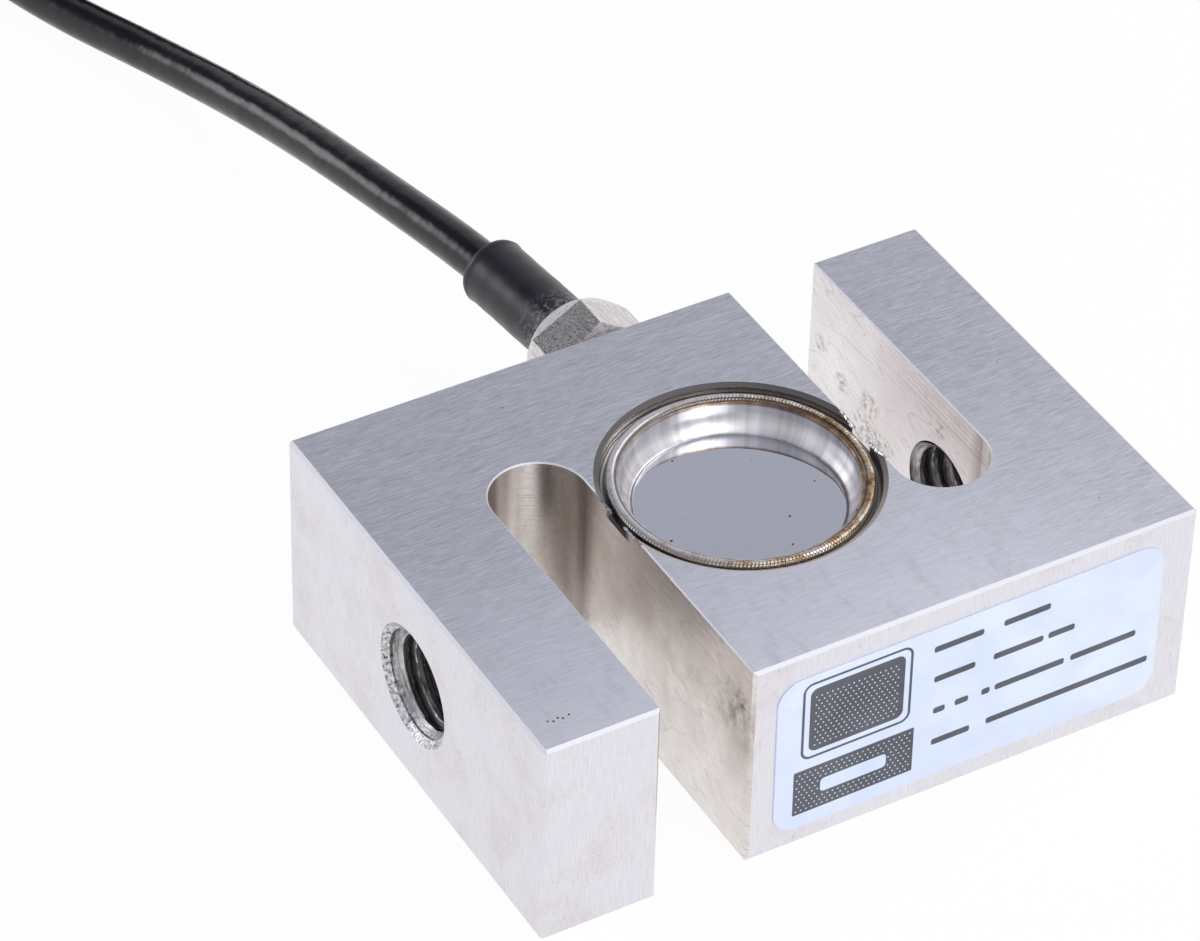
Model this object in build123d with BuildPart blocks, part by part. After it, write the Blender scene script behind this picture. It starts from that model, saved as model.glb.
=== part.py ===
from build123d import *
import os
from math import atan2, cos, degrees, pi, radians, sin, sqrt, tan

# S-type load cell, millimetres. It lies on its broad face: the load axis is X, through both threaded
# holes, the label is on the front face (-Y) and the cable leaves the back face (+Y). The origin is
# at the centre of the body's base.

# Body
body_length = 76.2
body_width = 53.8
body_height = 25.4
edge_break = 0.35
slot_edge_break = 0.15
leg_thickness = 13.1
slot_width = 10.5
slot_past_axis = 12.1
thread_diameter = 12.0
thread_countersink = 0.8

# Sealed pocket, one from each broad face, with a shear web left between them
groove_bevel = 0.5
groove_bevel_depth = 0.3
groove_width = 0.7
groove_depth = 1.4
lip_width = 1.0
lip_drop = 0.6
cup_seat_diameter = 25.8
cup_seat_depth = 6.0
seat_ledge = 1.9
web_thickness = 2.6
web_bevel = 1.0
wire_hole_diameter = 2.6
wire_hole_offset = 8.4

# Sealing cup and its weld
cup_clearance = 0.05
cup_thickness = 0.4
cup_wall_depth = 1.0
cup_bend_radius = 3.0
cup_depth = 3.35
cup_floor_rise = 0.2
cup_floor_step = 0.3
weld_height = 0.28
weld_shoulder = 0.3
weld_overlap = 0.1
weld_margin = 0.05

# Gauging inside the pockets
gauge_length = 8.0
gauge_width = 6.4
gauge_thickness = 0.1
grid_length = 2.6
grid_width = 1.8
grid_thickness = 0.06
terminal_length = 5.0
terminal_width = 1.6
terminal_thickness = 0.5
terminal_gap = 1.2
jumper_thickness = 0.15
board_clearance = 0.3
board_thickness = 0.8
resistor_length = 3.2
resistor_width = 1.6
resistor_height = 0.55
bundle_diameter = 1.2
bundle_offset = 0.1
jumper_lap = 0.15
solder_gap = 0.05

# Cable gland, on an axis square to the back face
gland_x = 3.7
gland_thread_diameter = 10.0
gland_thread_clearance = 0.05
gland_thread_length = 7.0
gland_hole_depth = 8.0
cable_passage_diameter = 6.0
core_rise_inset = 2.57
core_rise_room = 1.43
gasket_thickness = 0.8
gasket_diameter = 11.4
hex_across_flats = 11.7
hex_bevel = 0.5
flange_length = 4.2
neck_diameter = 9.5
neck_gap = 2.8
neck_engagement = 3.9
gland_bore_diameter = 5.6
grommet_diameter = 7.7
grommet_bore_diameter = 5.5
grommet_length = 4.9
washer_thickness = 0.5
nut_end_wall = 2.2
nut_end_diameter = 10.6
nut_end_taper = 1.8
nut_end_hole_diameter = 8.7

# Label
label_length = 46.0
label_height = 20.1
label_thickness = 0.15
label_corner = 2.8
label_x = 11.4
label_z = 12.5
label_tilt = 0.6

# Cable: a round four-core lead with a black sleeve over its first stretch
cable_diameter = 5.0
sleeve_diameter = 7.85
sleeve_bore_diameter = 5.6
sleeve_length = 17.5
core_diameter = 1.1
core_spacing = 1.2

# Ties, on which the coil stands
tie_width = 3.6
tie_thickness = 0.9
tie_clearance = 0.1
tie_head_length = 5.4
tie_head_height = 3.4
tie_angles = (250.0, 5.0)

# Lengths that follow from the ones above
half_length = body_length / 2
half_width = body_width / 2
seat_radius = cup_seat_diameter / 2
pocket_radius = seat_radius - seat_ledge
lip_radius = seat_radius + lip_width
groove_radius = lip_radius + groove_width
gland_z = body_height / 2
core_rise_y = pocket_radius - core_rise_inset
slot_x = half_length - leg_thickness - slot_width / 2
slot_arc_y = slot_past_axis - slot_width / 2
web_top = body_height / 2 + web_thickness / 2
seat_z = body_height - cup_seat_depth
mid_plane = Plane.XY.offset(body_height / 2)

# Route of the cable's centre, from its stripped end inside the body to the coil
bundle_slack = 0.15
jacket_inset = 7.9
coil_height = tie_thickness + tie_clearance + bundle_slack + cable_diameter / 2
cable_route = [
    (gland_x, half_width - jacket_inset, gland_z),
    (gland_x + 0.1, 38.5, gland_z),
    (gland_x - 1.5, 58.0, gland_z - 0.4),
    (-1.0, 79.0, 10.6),
    (-2.9, 100.0, 7.0),
    (-7.0, 120.0, 4.1),
    (-13.2, 138.0, 2.8),
    (-17.6, 153.0, coil_height),
    (-17.6, 165.0, coil_height),
]

# Coil of the spare cable: four turns across, three layers and a fourth one turn narrower
turns_across = 4
full_layers = 3
coil_inner_turn_radius = 22.5
coil_lead_in = 25.0
coil_lead_out_angle = 8.0
tail_start_angle = 130.0
tail_angle = 40.0
cuff_wall = 0.4
cuff_clearance = 0.05
cuff_length = 10.0
cuff_on_jacket = 7.0


def run_radii(points, share=0.45):
    """Corner radii of a route: each arc takes a share of the shorter run beside it."""
    corners = []
    for before, at, after in zip(points, points[1:], points[2:]):
        arriving, leaving = Vector(*at) - Vector(*before), Vector(*after) - Vector(*at)
        half_turn = radians(arriving.get_angle(leaving)) / 2
        corners.append(share * min(arriving.length, leaving.length) / tan(half_turn))
    return corners


def gland_plane(distance):
    """Plane across the gland's axis, at a distance outwards from the body's back face."""
    return Plane((gland_x, half_width + distance, gland_z), x_dir=(1, 0, 0), z_dir=(0, 1, 0))


# Spring element: one machined block, two slots that make its S, a threaded hole in each leg
with BuildPart() as spring_element:
    with BuildSketch() as s_outline:
        Rectangle(body_length, body_width)
        for side in (-1, 1):
            with Locations((side * slot_x, side * (half_width - slot_arc_y) / 2)):
                Rectangle(slot_width, half_width + slot_arc_y, mode=Mode.SUBTRACT)
            with Locations((side * slot_x, -side * slot_arc_y)):
                Circle(slot_width / 2, mode=Mode.SUBTRACT)
    extrude(amount=body_height)
    rims = spring_element.edges().group_by(Axis.Z)[0] + spring_element.edges().group_by(Axis.Z)[-1]
    uprights = spring_element.edges().filter_by(Axis.Z).filter_by(
        lambda edge: abs(edge.center().Y) > half_width - edge_break
    )
    outer_edges = (rims + uprights).filter_by(
        lambda edge: abs(edge.center().X) > half_length - edge_break
        or abs(edge.center().Y) > half_width - edge_break
    )
    chamfer(outer_edges, edge_break)
    slot_rims = (
        spring_element.edges().group_by(Axis.Z)[0] + spring_element.edges().group_by(Axis.Z)[-1]
    ).filter_by(
        lambda edge: abs(abs(edge.center().X) - slot_x) <= slot_width / 2 + slot_edge_break
        and abs(edge.center().Y) < half_width - 2 * edge_break
    )
    chamfer(slot_rims, slot_edge_break)
    for side in (-1, 1):
        leg_face = Plane(
            (side * half_length, 0, body_height / 2), x_dir=(0, 1, 0), z_dir=(side, 0, 0)
        )
        with BuildSketch(leg_face):
            Circle(thread_diameter / 2)
        extrude(amount=-(leg_thickness + slot_width / 2), mode=Mode.SUBTRACT)
        with BuildSketch(leg_face):
            Circle(thread_diameter / 2 + thread_countersink)
        extrude(amount=-thread_countersink, taper=45, mode=Mode.SUBTRACT)
    # stepped pocket: recess, weld groove, lip, cup seat and gauge pocket down to the web
    with BuildSketch(Plane.XZ) as pocket_section:
        with BuildLine():
            Polyline(
                (0, web_top),
                (pocket_radius, web_top),
                (pocket_radius, seat_z),
                (seat_radius, seat_z),
                (seat_radius, body_height - lip_drop),
                (lip_radius, body_height - lip_drop),
                (lip_radius, body_height - groove_depth),
                (groove_radius, body_height - groove_depth),
                (groove_radius, body_height - groove_bevel_depth),
                (groove_radius + groove_bevel, body_height),
                (groove_radius + groove_bevel, body_height + groove_bevel),
                (0, body_height + groove_bevel),
                close=True,
            )
        make_face()
        web_corner = pocket_section.vertices().group_by(Axis.Y)[0].sort_by(Axis.X)[-1]
        chamfer(web_corner, web_bevel)
    revolve(axis=Axis.Z, mode=Mode.SUBTRACT)
    with BuildSketch(Plane.XZ):
        add(mirror(pocket_section.sketch_local, about=Plane.XZ.offset(-body_height / 2), mode=Mode.PRIVATE))
    revolve(axis=Axis.Z, mode=Mode.SUBTRACT)
    # threaded hole for the gland, and the passage that opens into both pockets past the web's edge
    with BuildSketch(gland_plane(0)):
        Circle(gland_thread_diameter / 2)
    extrude(amount=-gland_hole_depth, mode=Mode.SUBTRACT)
    with BuildSketch(gland_plane(0)):
        Circle(cable_passage_diameter / 2)
    extrude(amount=-(half_width - core_rise_y + core_rise_room), mode=Mode.SUBTRACT)
    with BuildSketch(mid_plane):
        with Locations((-wire_hole_offset, 0)):
            Circle(wire_hole_diameter / 2)
    extrude(amount=web_thickness, both=True, mode=Mode.SUBTRACT)
spring_element.part.label = "spring_element"

# Sealing cup: thin pressed cup, its rim level with the lip, its floor raised a little at the edge
rim_z = body_height - lip_drop
cup_outer_radius = seat_radius - cup_clearance


def cup_section(outer_radius, bend_radius):
    """Half section under the cup's inner or outer skin: wall, bend in two flats, step up to the floor."""
    bend_z = rim_z - cup_wall_depth
    drop = cup_depth - cup_wall_depth
    bend_angle = degrees(atan2(drop, sqrt(cup_bend_radius**2 - drop**2)))
    with BuildSketch(Plane.XZ) as section:
        with BuildLine():
            bend = [
                (
                    outer_radius - bend_radius * (1 - cos(radians(angle))),
                    bend_z - bend_radius * sin(radians(angle)),
                )
                for angle in (0, bend_angle / 2, bend_angle)
            ]
            floor_edge = (bend[-1][0] - cup_floor_step, bend[-1][1] + cup_floor_rise)
            Polyline((0, rim_z), (outer_radius, rim_z), *bend, floor_edge, (0, floor_edge[1]), close=True)
        make_face()
    return section.sketch


with BuildPart() as top_seal_cup:
    add(cup_section(cup_outer_radius, cup_bend_radius + cup_thickness))
    revolve(axis=Axis.Z)
    add(cup_section(cup_outer_radius - cup_thickness, cup_bend_radius))
    revolve(axis=Axis.Z, mode=Mode.SUBTRACT)
top_seal_cup.part.label = "top_seal_cup"

with BuildPart() as bottom_seal_cup:
    add(top_seal_cup.part.mirror(mid_plane))
bottom_seal_cup.part.label = "bottom_seal_cup"

# Weld seam: a low bead over the joint between the cup's rim and the lip
weld_inner = cup_outer_radius - weld_overlap
weld_outer = lip_radius - weld_margin
with BuildPart() as top_weld_seam:
    with BuildSketch(Plane.XZ):
        with BuildLine():
            Polyline(
                (weld_inner, rim_z),
                (weld_inner + weld_shoulder, rim_z + weld_height),
                (weld_outer - weld_shoulder, rim_z + weld_height),
                (weld_outer, rim_z),
                close=True,
            )
        make_face()
    revolve(axis=Axis.Z)
top_weld_seam.part.label = "top_weld_seam"

with BuildPart() as bottom_weld_seam:
    add(top_weld_seam.part.mirror(mid_plane))
bottom_weld_seam.part.label = "bottom_weld_seam"

# Shear gauge on the web: a carrier with two foil grids at 45 degrees
terminal_x = -(gauge_length / 2 + terminal_gap + terminal_width / 2)
with BuildPart() as upper_shear_gauge:
    with BuildSketch(Plane.XY.offset(web_top)):
        RectangleRounded(gauge_length, gauge_width, gauge_thickness)
    extrude(amount=gauge_thickness)
    with BuildSketch(Plane.XY.offset(web_top + gauge_thickness)):
        for side in (-1, 1):
            with Locations((side * gauge_length / 4, 0)):
                Rectangle(grid_width, grid_length, rotation=45 * side)
    extrude(amount=grid_thickness)
upper_shear_gauge.part.label = "upper_shear_gauge"

with BuildPart() as lower_shear_gauge:
    add(upper_shear_gauge.part.mirror(mid_plane))
lower_shear_gauge.part.label = "lower_shear_gauge"

# Solder terminals beside each gauge, and the flat jumper that joins them
with BuildPart() as upper_terminals:
    with BuildSketch(Plane.XY.offset(web_top)):
        with Locations((terminal_x, 0)):
            Rectangle(terminal_width, terminal_length)
    extrude(amount=terminal_thickness)
upper_terminals.part.label = "upper_terminals"

with BuildPart() as lower_terminals:
    add(upper_terminals.part.mirror(mid_plane))
lower_terminals.part.label = "lower_terminals"

jumper_from = terminal_x + terminal_width / 2
jumper_to = -gauge_length / 2 + jumper_thickness
with BuildPart() as upper_jumper:
    with BuildSketch(Plane.XZ.offset(-terminal_length * 0.4)):
        with BuildLine():
            Polyline(
                (jumper_from - jumper_lap, web_top + terminal_thickness),
                (jumper_from, web_top + terminal_thickness),
                (jumper_to, web_top + gauge_thickness),
                (jumper_to + jumper_lap, web_top + gauge_thickness),
                (jumper_to + jumper_lap, web_top + gauge_thickness + jumper_thickness),
                (jumper_to, web_top + gauge_thickness + jumper_thickness),
                (jumper_from + jumper_thickness, web_top + terminal_thickness + jumper_thickness),
                (jumper_from - jumper_lap, web_top + terminal_thickness + jumper_thickness),
                close=True,
            )
        make_face()
    extrude(amount=terminal_length * 0.8)
upper_jumper.part.label = "upper_jumper"

with BuildPart() as lower_jumper:
    add(upper_jumper.part.mirror(mid_plane))
lower_jumper.part.label = "lower_jumper"

# Compensation board on the cup seat's ledge, with its trimming resistors
with BuildPart() as compensation_board:
    with BuildSketch(Plane.XY.offset(seat_z)):
        Circle(seat_radius - board_clearance)
    extrude(amount=board_thickness)
compensation_board.part.label = "compensation_board"

resistor_places = {
    "span_resistor_left": (-4.5, 3.5),
    "span_resistor_right": (4.5, 3.5),
    "zero_trim_resistor": (-4.5, -3.5),
    "temperature_resistor": (4.5, -3.5),
}
resistors = []
for name, place in resistor_places.items():
    with BuildPart() as resistor:
        with BuildSketch(Plane.XY.offset(seat_z + board_thickness)):
            with Locations(place):
                Rectangle(resistor_length, resistor_width)
        extrude(amount=resistor_height)
    resistor.part.label = name
    resistors.append(resistor.part)

# Wire bundles from the terminals to the board; the lower one passes through the web's wire hole
with BuildPart() as upper_wires:
    with BuildSketch(Plane.XY.offset(web_top + terminal_thickness)):
        with Locations((terminal_x - bundle_offset, terminal_length / 2 - bundle_diameter / 2)):
            Circle(bundle_diameter / 2)
    extrude(amount=seat_z - web_top - terminal_thickness)
upper_wires.part.label = "upper_wires"

lower_bundle_z = body_height - web_top - terminal_thickness - bundle_diameter / 2 - solder_gap
with BuildPart() as lower_wires:
    with BuildLine() as lower_path:
        Polyline(
            (terminal_x + bundle_offset, 0, lower_bundle_z),
            (-wire_hole_offset, 0, lower_bundle_z),
            (-wire_hole_offset, 0, seat_z),
        )
    with BuildSketch(Plane((lower_path.line @ 0), z_dir=lower_path.line % 0)):
        Circle(bundle_diameter / 2)
    sweep(transition=Transition.RIGHT)
lower_wires.part.label = "lower_wires"

# Cable gland: gasket, body with hexagon and neck, rubber grommet, washer and cap nut
flange_start = gasket_thickness
neck_start = flange_start + flange_length
nut_start = neck_start + neck_gap
neck_end = nut_start + neck_engagement
nut_shoulder = neck_end + washer_thickness
nut_end = nut_shoulder + nut_end_wall
hex_corner_radius = hex_across_flats / sqrt(3)

with BuildPart() as gland_gasket:
    with BuildSketch(gland_plane(0)):
        Circle(gasket_diameter / 2)
        Circle(gland_thread_diameter / 2, mode=Mode.SUBTRACT)
    extrude(amount=gasket_thickness)
gland_gasket.part.label = "gland_gasket"


def turned_outline(points):
    """Closed half section about the gland's axis, from pairs of radius and distance."""
    with BuildSketch(Plane((gland_x, half_width, gland_z), x_dir=(1, 0, 0), z_dir=(0, 0, 1))) as section:
        with BuildLine():
            Polyline(*points, close=True)
        make_face()
    return section.sketch


gland_axis = Axis((gland_x, half_width, gland_z), (0, 1, 0))

with BuildPart() as gland_body:
    with BuildSketch(gland_plane(flange_start)):
        RegularPolygon(hex_across_flats / 2, 6, major_radius=False, rotation=30)
    extrude(amount=flange_length)
    add(
        turned_outline([
            (0, flange_start),
            (hex_corner_radius - hex_bevel * 2, flange_start),
            (hex_corner_radius, flange_start + hex_bevel),
            (hex_corner_radius, neck_start - hex_bevel),
            (hex_corner_radius - hex_bevel * 2, neck_start),
            (0, neck_start),
        ])
    )
    revolve(axis=gland_axis, mode=Mode.INTERSECT)
    with BuildSketch(gland_plane(neck_start)):
        Circle(neck_diameter / 2)
    extrude(amount=neck_end - neck_start)
    with BuildSketch(gland_plane(flange_start)):
        Circle(gland_thread_diameter / 2 - gland_thread_clearance)
    extrude(amount=-(flange_start + gland_thread_length))
    with BuildSketch(gland_plane(neck_end)):
        Circle(gland_bore_diameter / 2)
    extrude(amount=-(neck_end + gland_thread_length), mode=Mode.SUBTRACT)
    with BuildSketch(gland_plane(neck_end)):
        Circle(grommet_diameter / 2 + cuff_clearance)
    extrude(amount=-grommet_length, mode=Mode.SUBTRACT)
gland_body.part.label = "gland_body"

with BuildPart() as gland_grommet:
    with BuildSketch(gland_plane(neck_end - grommet_length)):
        Circle(grommet_diameter / 2)
        Circle(grommet_bore_diameter / 2, mode=Mode.SUBTRACT)
    extrude(amount=grommet_length)
gland_grommet.part.label = "gland_grommet"

with BuildPart() as gland_washer:
    with BuildSketch(gland_plane(neck_end)):
        Circle(neck_diameter / 2)
        Circle(gland_bore_diameter / 2, mode=Mode.SUBTRACT)
    extrude(amount=washer_thickness)
gland_washer.part.label = "gland_washer"

with BuildPart() as gland_nut:
    with BuildSketch(gland_plane(nut_start)):
        RegularPolygon(hex_across_flats / 2, 6, major_radius=False, rotation=30)
    extrude(amount=nut_end - nut_start)
    add(
        turned_outline([
            (0, nut_start),
            (hex_corner_radius - hex_bevel * 2, nut_start),
            (hex_corner_radius, nut_start + hex_bevel),
            (hex_corner_radius, nut_end - nut_end_taper),
            (nut_end_diameter / 2, nut_end),
            (0, nut_end),
        ])
    )
    revolve(axis=gland_axis, mode=Mode.INTERSECT)
    with BuildSketch(gland_plane(nut_start)):
        Circle(neck_diameter / 2 + gland_thread_clearance)
    extrude(amount=nut_shoulder - nut_start, mode=Mode.SUBTRACT)
    with BuildSketch(gland_plane(nut_shoulder)):
        Circle(nut_end_hole_diameter / 2)
    extrude(amount=nut_end_wall, mode=Mode.SUBTRACT)
gland_nut.part.label = "gland_nut"

# Label on the front face, a little off level as stuck on by hand
with BuildPart() as face_label:
    label_plane = Plane(
        (label_x, -half_width, label_z),
        x_dir=(cos(radians(label_tilt)), 0, sin(radians(label_tilt))),
        z_dir=(0, -1, 0),
    )
    with BuildSketch(label_plane):
        RectangleRounded(label_length, label_height, label_corner)
    extrude(amount=label_thickness)
face_label.part.label = "face_label"

# Cable: tube of straight runs and tangent arcs, with no radius under five diameters
cable_radii = run_radii(cable_route)
print("cable radii", [round(radius) for radius in cable_radii], "mm, least", round(min(cable_radii), 1))
with BuildPart() as cable_run:
    with BuildLine() as cable_path:
        FilletPolyline(*cable_route, radius=cable_radii)
    with BuildSketch(Plane(cable_path.line @ 0, z_dir=cable_path.line % 0)):
        Circle(cable_diameter / 2)
    sweep()
cable_run.part.label = "cable_run"
tube_length = cable_path.wire().length
print("cable run", round(tube_length, 1), "mm, volume over section times length",
      round(cable_run.part.volume / (pi * cable_diameter**2 / 4 * tube_length), 4))

# Sleeve over the cable where it leaves the nut, along the run beyond the first bend
sleeve_direction = (Vector(*cable_route[2]) - Vector(*cable_route[1])).normalized()
sleeve_start_y = half_width + nut_shoulder + solder_gap
sleeve_start = Vector(*cable_route[2]) - sleeve_direction * (
    (cable_route[2][1] - sleeve_start_y) / sleeve_direction.Y - sleeve_diameter / 2 * abs(sleeve_direction.X)
)
with BuildPart() as cable_sleeve:
    with BuildSketch(Plane(sleeve_start, z_dir=sleeve_direction)):
        Circle(sleeve_diameter / 2)
        Circle(sleeve_bore_diameter / 2, mode=Mode.SUBTRACT)
    extrude(amount=sleeve_length)
    chamfer(
        cable_sleeve.faces().sort_by(Axis.Y)[-1].edges().filter_by(
            lambda edge: edge.radius > (sleeve_diameter + sleeve_bore_diameter) / 4
        ),
        cuff_wall,
    )
cable_sleeve.part.label = "cable_sleeve"

# Four cores inside the body, from the stripped end through the passage up to the board
core_names = ["red", "black", "green", "white"]
core_offsets = [(index - 1.5) * core_spacing for index in range(len(core_names))]
inner_cores = []
for name, sideways in zip(core_names, core_offsets):
    with BuildPart() as inner_core:
        with BuildLine() as inner_path:
            Polyline(
                (gland_x + sideways, cable_route[0][1], gland_z),
                (gland_x + sideways, core_rise_y, gland_z),
                (gland_x + sideways, core_rise_y, seat_z),
            )
        with BuildSketch(Plane(inner_path.line @ 0, z_dir=inner_path.line % 0)):
            Circle(core_diameter / 2)
        sweep(transition=Transition.RIGHT)
    inner_core.part.label = "inner_core_" + name
    inner_cores.append(inner_core.part)

# Coil: one ring with the outline of its bundle of turns, a straight lead-in and a lead-out
coil_base = coil_height - cable_diameter / 2 - bundle_slack
coil_inner = coil_inner_turn_radius - cable_diameter / 2 - bundle_slack
outer_turn_radius = coil_inner_turn_radius + (turns_across - 1) * cable_diameter
coil_outer = outer_turn_radius + cable_diameter / 2 + bundle_slack
tier_outer = coil_outer - cable_diameter
coil_x = cable_route[-1][0] + outer_turn_radius
coil_y = cable_route[-1][1] + coil_lead_in
ledge_z = coil_base + 2 * bundle_slack + full_layers * cable_diameter
coil_top = ledge_z + cable_diameter
tail_lift = cuff_wall + 2 * cuff_clearance
tail_radius = tier_outer + cable_diameter / 2 + tail_lift
tail_z = ledge_z + cable_diameter / 2 + tail_lift
coil_axis = Axis((coil_x, coil_y, 0), (0, 0, 1))


def coil_section_plane(angle):
    """Upright plane through the coil's axis; its local x runs outwards at the angle."""
    outwards = (cos(radians(angle)), sin(radians(angle)), 0)
    return Plane((coil_x, coil_y, 0), x_dir=outwards, z_dir=(outwards[1], -outwards[0], 0))


def coil_point(angle, radius, height):
    """Point at an angle round the coil's axis."""
    return (coil_x + radius * cos(radians(angle)), coil_y + radius * sin(radians(angle)), height)


with BuildPart() as cable_coil:
    with BuildSketch(coil_section_plane(0)) as bundle_section:
        with BuildLine():
            Polyline(
                (coil_inner, coil_base),
                (coil_outer, coil_base),
                (coil_outer, ledge_z),
                (tier_outer, ledge_z),
                (tier_outer, coil_top),
                (coil_inner, coil_top),
                close=True,
            )
        make_face()
        corners = bundle_section.vertices().filter_by(
            lambda vertex: abs(vertex.Y - ledge_z) > bundle_slack or vertex.X > tier_outer + bundle_slack
        )
        chamfer(corners, cable_diameter * 0.4)
    revolve(axis=coil_axis)
    with BuildSketch(Plane(cable_route[-1], x_dir=(1, 0, 0), z_dir=(0, 1, 0))):
        Circle(cable_diameter / 2)
    extrude(amount=coil_lead_in)
    with BuildSketch(coil_section_plane(tail_start_angle)):
        with Locations((tail_radius, tail_z)):
            Circle(cable_diameter / 2)
        with Locations((tail_radius, tail_z)):
            Rectangle(cable_diameter, cable_diameter, align=(Align.MAX, Align.MAX))
    revolve(axis=coil_axis, revolution_arc=coil_lead_out_angle)
cable_coil.part.label = "cable_coil"

# Tail: the cable's last stretch, round the ledge of the coil, clockwise seen from above
with BuildPart() as cable_tail:
    with BuildSketch(coil_section_plane(tail_start_angle)):
        with Locations((tail_radius, tail_z)):
            Circle(cable_diameter / 2)
    revolve(axis=coil_axis, revolution_arc=-tail_angle)
cable_tail.part.label = "cable_tail"

tail_end_angle = tail_start_angle - tail_angle
cuff_start_angle = tail_end_angle + degrees(cuff_on_jacket / tail_radius)
with BuildPart() as end_cuff:
    with BuildSketch(coil_section_plane(cuff_start_angle)):
        with Locations((tail_radius, tail_z)):
            Circle(cable_diameter / 2 + cuff_wall)
            Circle(cable_diameter / 2 + cuff_clearance, mode=Mode.SUBTRACT)
    revolve(axis=coil_axis, revolution_arc=-degrees(cuff_length / tail_radius))
end_cuff.part.label = "end_cuff"

# Flying leads: each core leaves the cuff, comes down to the ledge and follows it
bundle_places = [(-1, -1), (-1, 1), (1, -1), (1, 1)]
lead_radii = [tail_radius + sideways for sideways in core_offsets]
lead_steps = [0.5, 20, 40]
lead_spread = [0, 1, 1]
lead_drop = [0, 0.4, 0.9]
lead_names = ["flying_lead_" + name for name in core_names]
flying_leads = []
for name, (across, above), settled_radius in zip(lead_names, bundle_places, lead_radii):
    first_radius = tail_radius + across * core_diameter * 0.55
    first_z = tail_z + above * core_diameter * 0.55
    settled_z = ledge_z + core_diameter / 2 + cuff_clearance
    lead_route = [
        coil_point(
            tail_end_angle - step,
            first_radius + (settled_radius - first_radius) * spread,
            first_z + (settled_z - first_z) * drop,
        )
        for step, spread, drop in zip(lead_steps, lead_spread, lead_drop)
    ]
    with BuildPart() as flying_lead:
        with BuildLine() as lead_path:
            FilletPolyline(*lead_route, radius=run_radii(lead_route))
        with BuildSketch(Plane(lead_path.line @ 0, z_dir=lead_path.line % 0)):
            Circle(core_diameter / 2)
        sweep()
    flying_lead.part.label = name
    flying_leads.append(flying_lead.part)

# Ties round the coil, each a strap with a square head; the coil stands on them
tie_inner_low = coil_base - tie_clearance
tie_parts = []
for index, angle in enumerate(tie_angles, start=1):
    with BuildPart() as coil_tie:
        with BuildSketch(coil_section_plane(angle)) as strap:
            with BuildLine():
                Polyline(
                    (coil_inner - tie_clearance, tie_inner_low),
                    (coil_outer + tie_clearance, tie_inner_low),
                    (coil_outer + tie_clearance, ledge_z),
                    (tier_outer, coil_top + tie_clearance),
                    (coil_inner - tie_clearance, coil_top + tie_clearance),
                    close=True,
                )
            make_face()
            offset(amount=tie_thickness, kind=Kind.INTERSECTION)
            with BuildLine():
                Polyline(
                    (coil_inner - tie_clearance, tie_inner_low),
                    (coil_outer + tie_clearance, tie_inner_low),
                    (coil_outer + tie_clearance, ledge_z),
                    (tier_outer, coil_top + tie_clearance),
                    (coil_inner - tie_clearance, coil_top + tie_clearance),
                    close=True,
                )
            make_face(mode=Mode.SUBTRACT)
        extrude(amount=tie_width / 2, both=True)
        with BuildSketch(coil_section_plane(angle)):
            with Locations((coil_outer + tie_clearance + tie_head_height / 2, ledge_z - tie_head_length)):
                Rectangle(tie_head_height, tie_head_length)
        extrude(amount=tie_head_length / 2, both=True)
    coil_tie.part.label = f"coil_tie_{index}"
    tie_parts.append(coil_tie.part)

os.makedirs("parts", exist_ok=True)
export_step(spring_element.part, "parts/spring_element.step")
export_step(top_seal_cup.part, "parts/top_seal_cup.step")
export_step(bottom_seal_cup.part, "parts/bottom_seal_cup.step")
export_step(top_weld_seam.part, "parts/top_weld_seam.step")
export_step(bottom_weld_seam.part, "parts/bottom_weld_seam.step")
export_step(upper_shear_gauge.part, "parts/upper_shear_gauge.step")
export_step(lower_shear_gauge.part, "parts/lower_shear_gauge.step")
export_step(upper_terminals.part, "parts/upper_terminals.step")
export_step(lower_terminals.part, "parts/lower_terminals.step")
export_step(upper_jumper.part, "parts/upper_jumper.step")
export_step(lower_jumper.part, "parts/lower_jumper.step")
export_step(compensation_board.part, "parts/compensation_board.step")
export_step(upper_wires.part, "parts/upper_wires.step")
export_step(lower_wires.part, "parts/lower_wires.step")
export_step(gland_gasket.part, "parts/gland_gasket.step")
export_step(gland_body.part, "parts/gland_body.step")
export_step(gland_grommet.part, "parts/gland_grommet.step")
export_step(gland_washer.part, "parts/gland_washer.step")
export_step(gland_nut.part, "parts/gland_nut.step")
export_step(face_label.part, "parts/face_label.step")
export_step(cable_run.part, "parts/cable_run.step")
export_step(cable_sleeve.part, "parts/cable_sleeve.step")
export_step(cable_coil.part, "parts/cable_coil.step")
export_step(cable_tail.part, "parts/cable_tail.step")
export_step(end_cuff.part, "parts/end_cuff.step")
for piece in resistors + inner_cores + flying_leads + tie_parts:
    export_step(piece, f"parts/{piece.label}.step")
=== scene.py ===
import math
import random
from types import SimpleNamespace

import bmesh
import bpy
from mathutils import Matrix, Vector, noise


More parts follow.
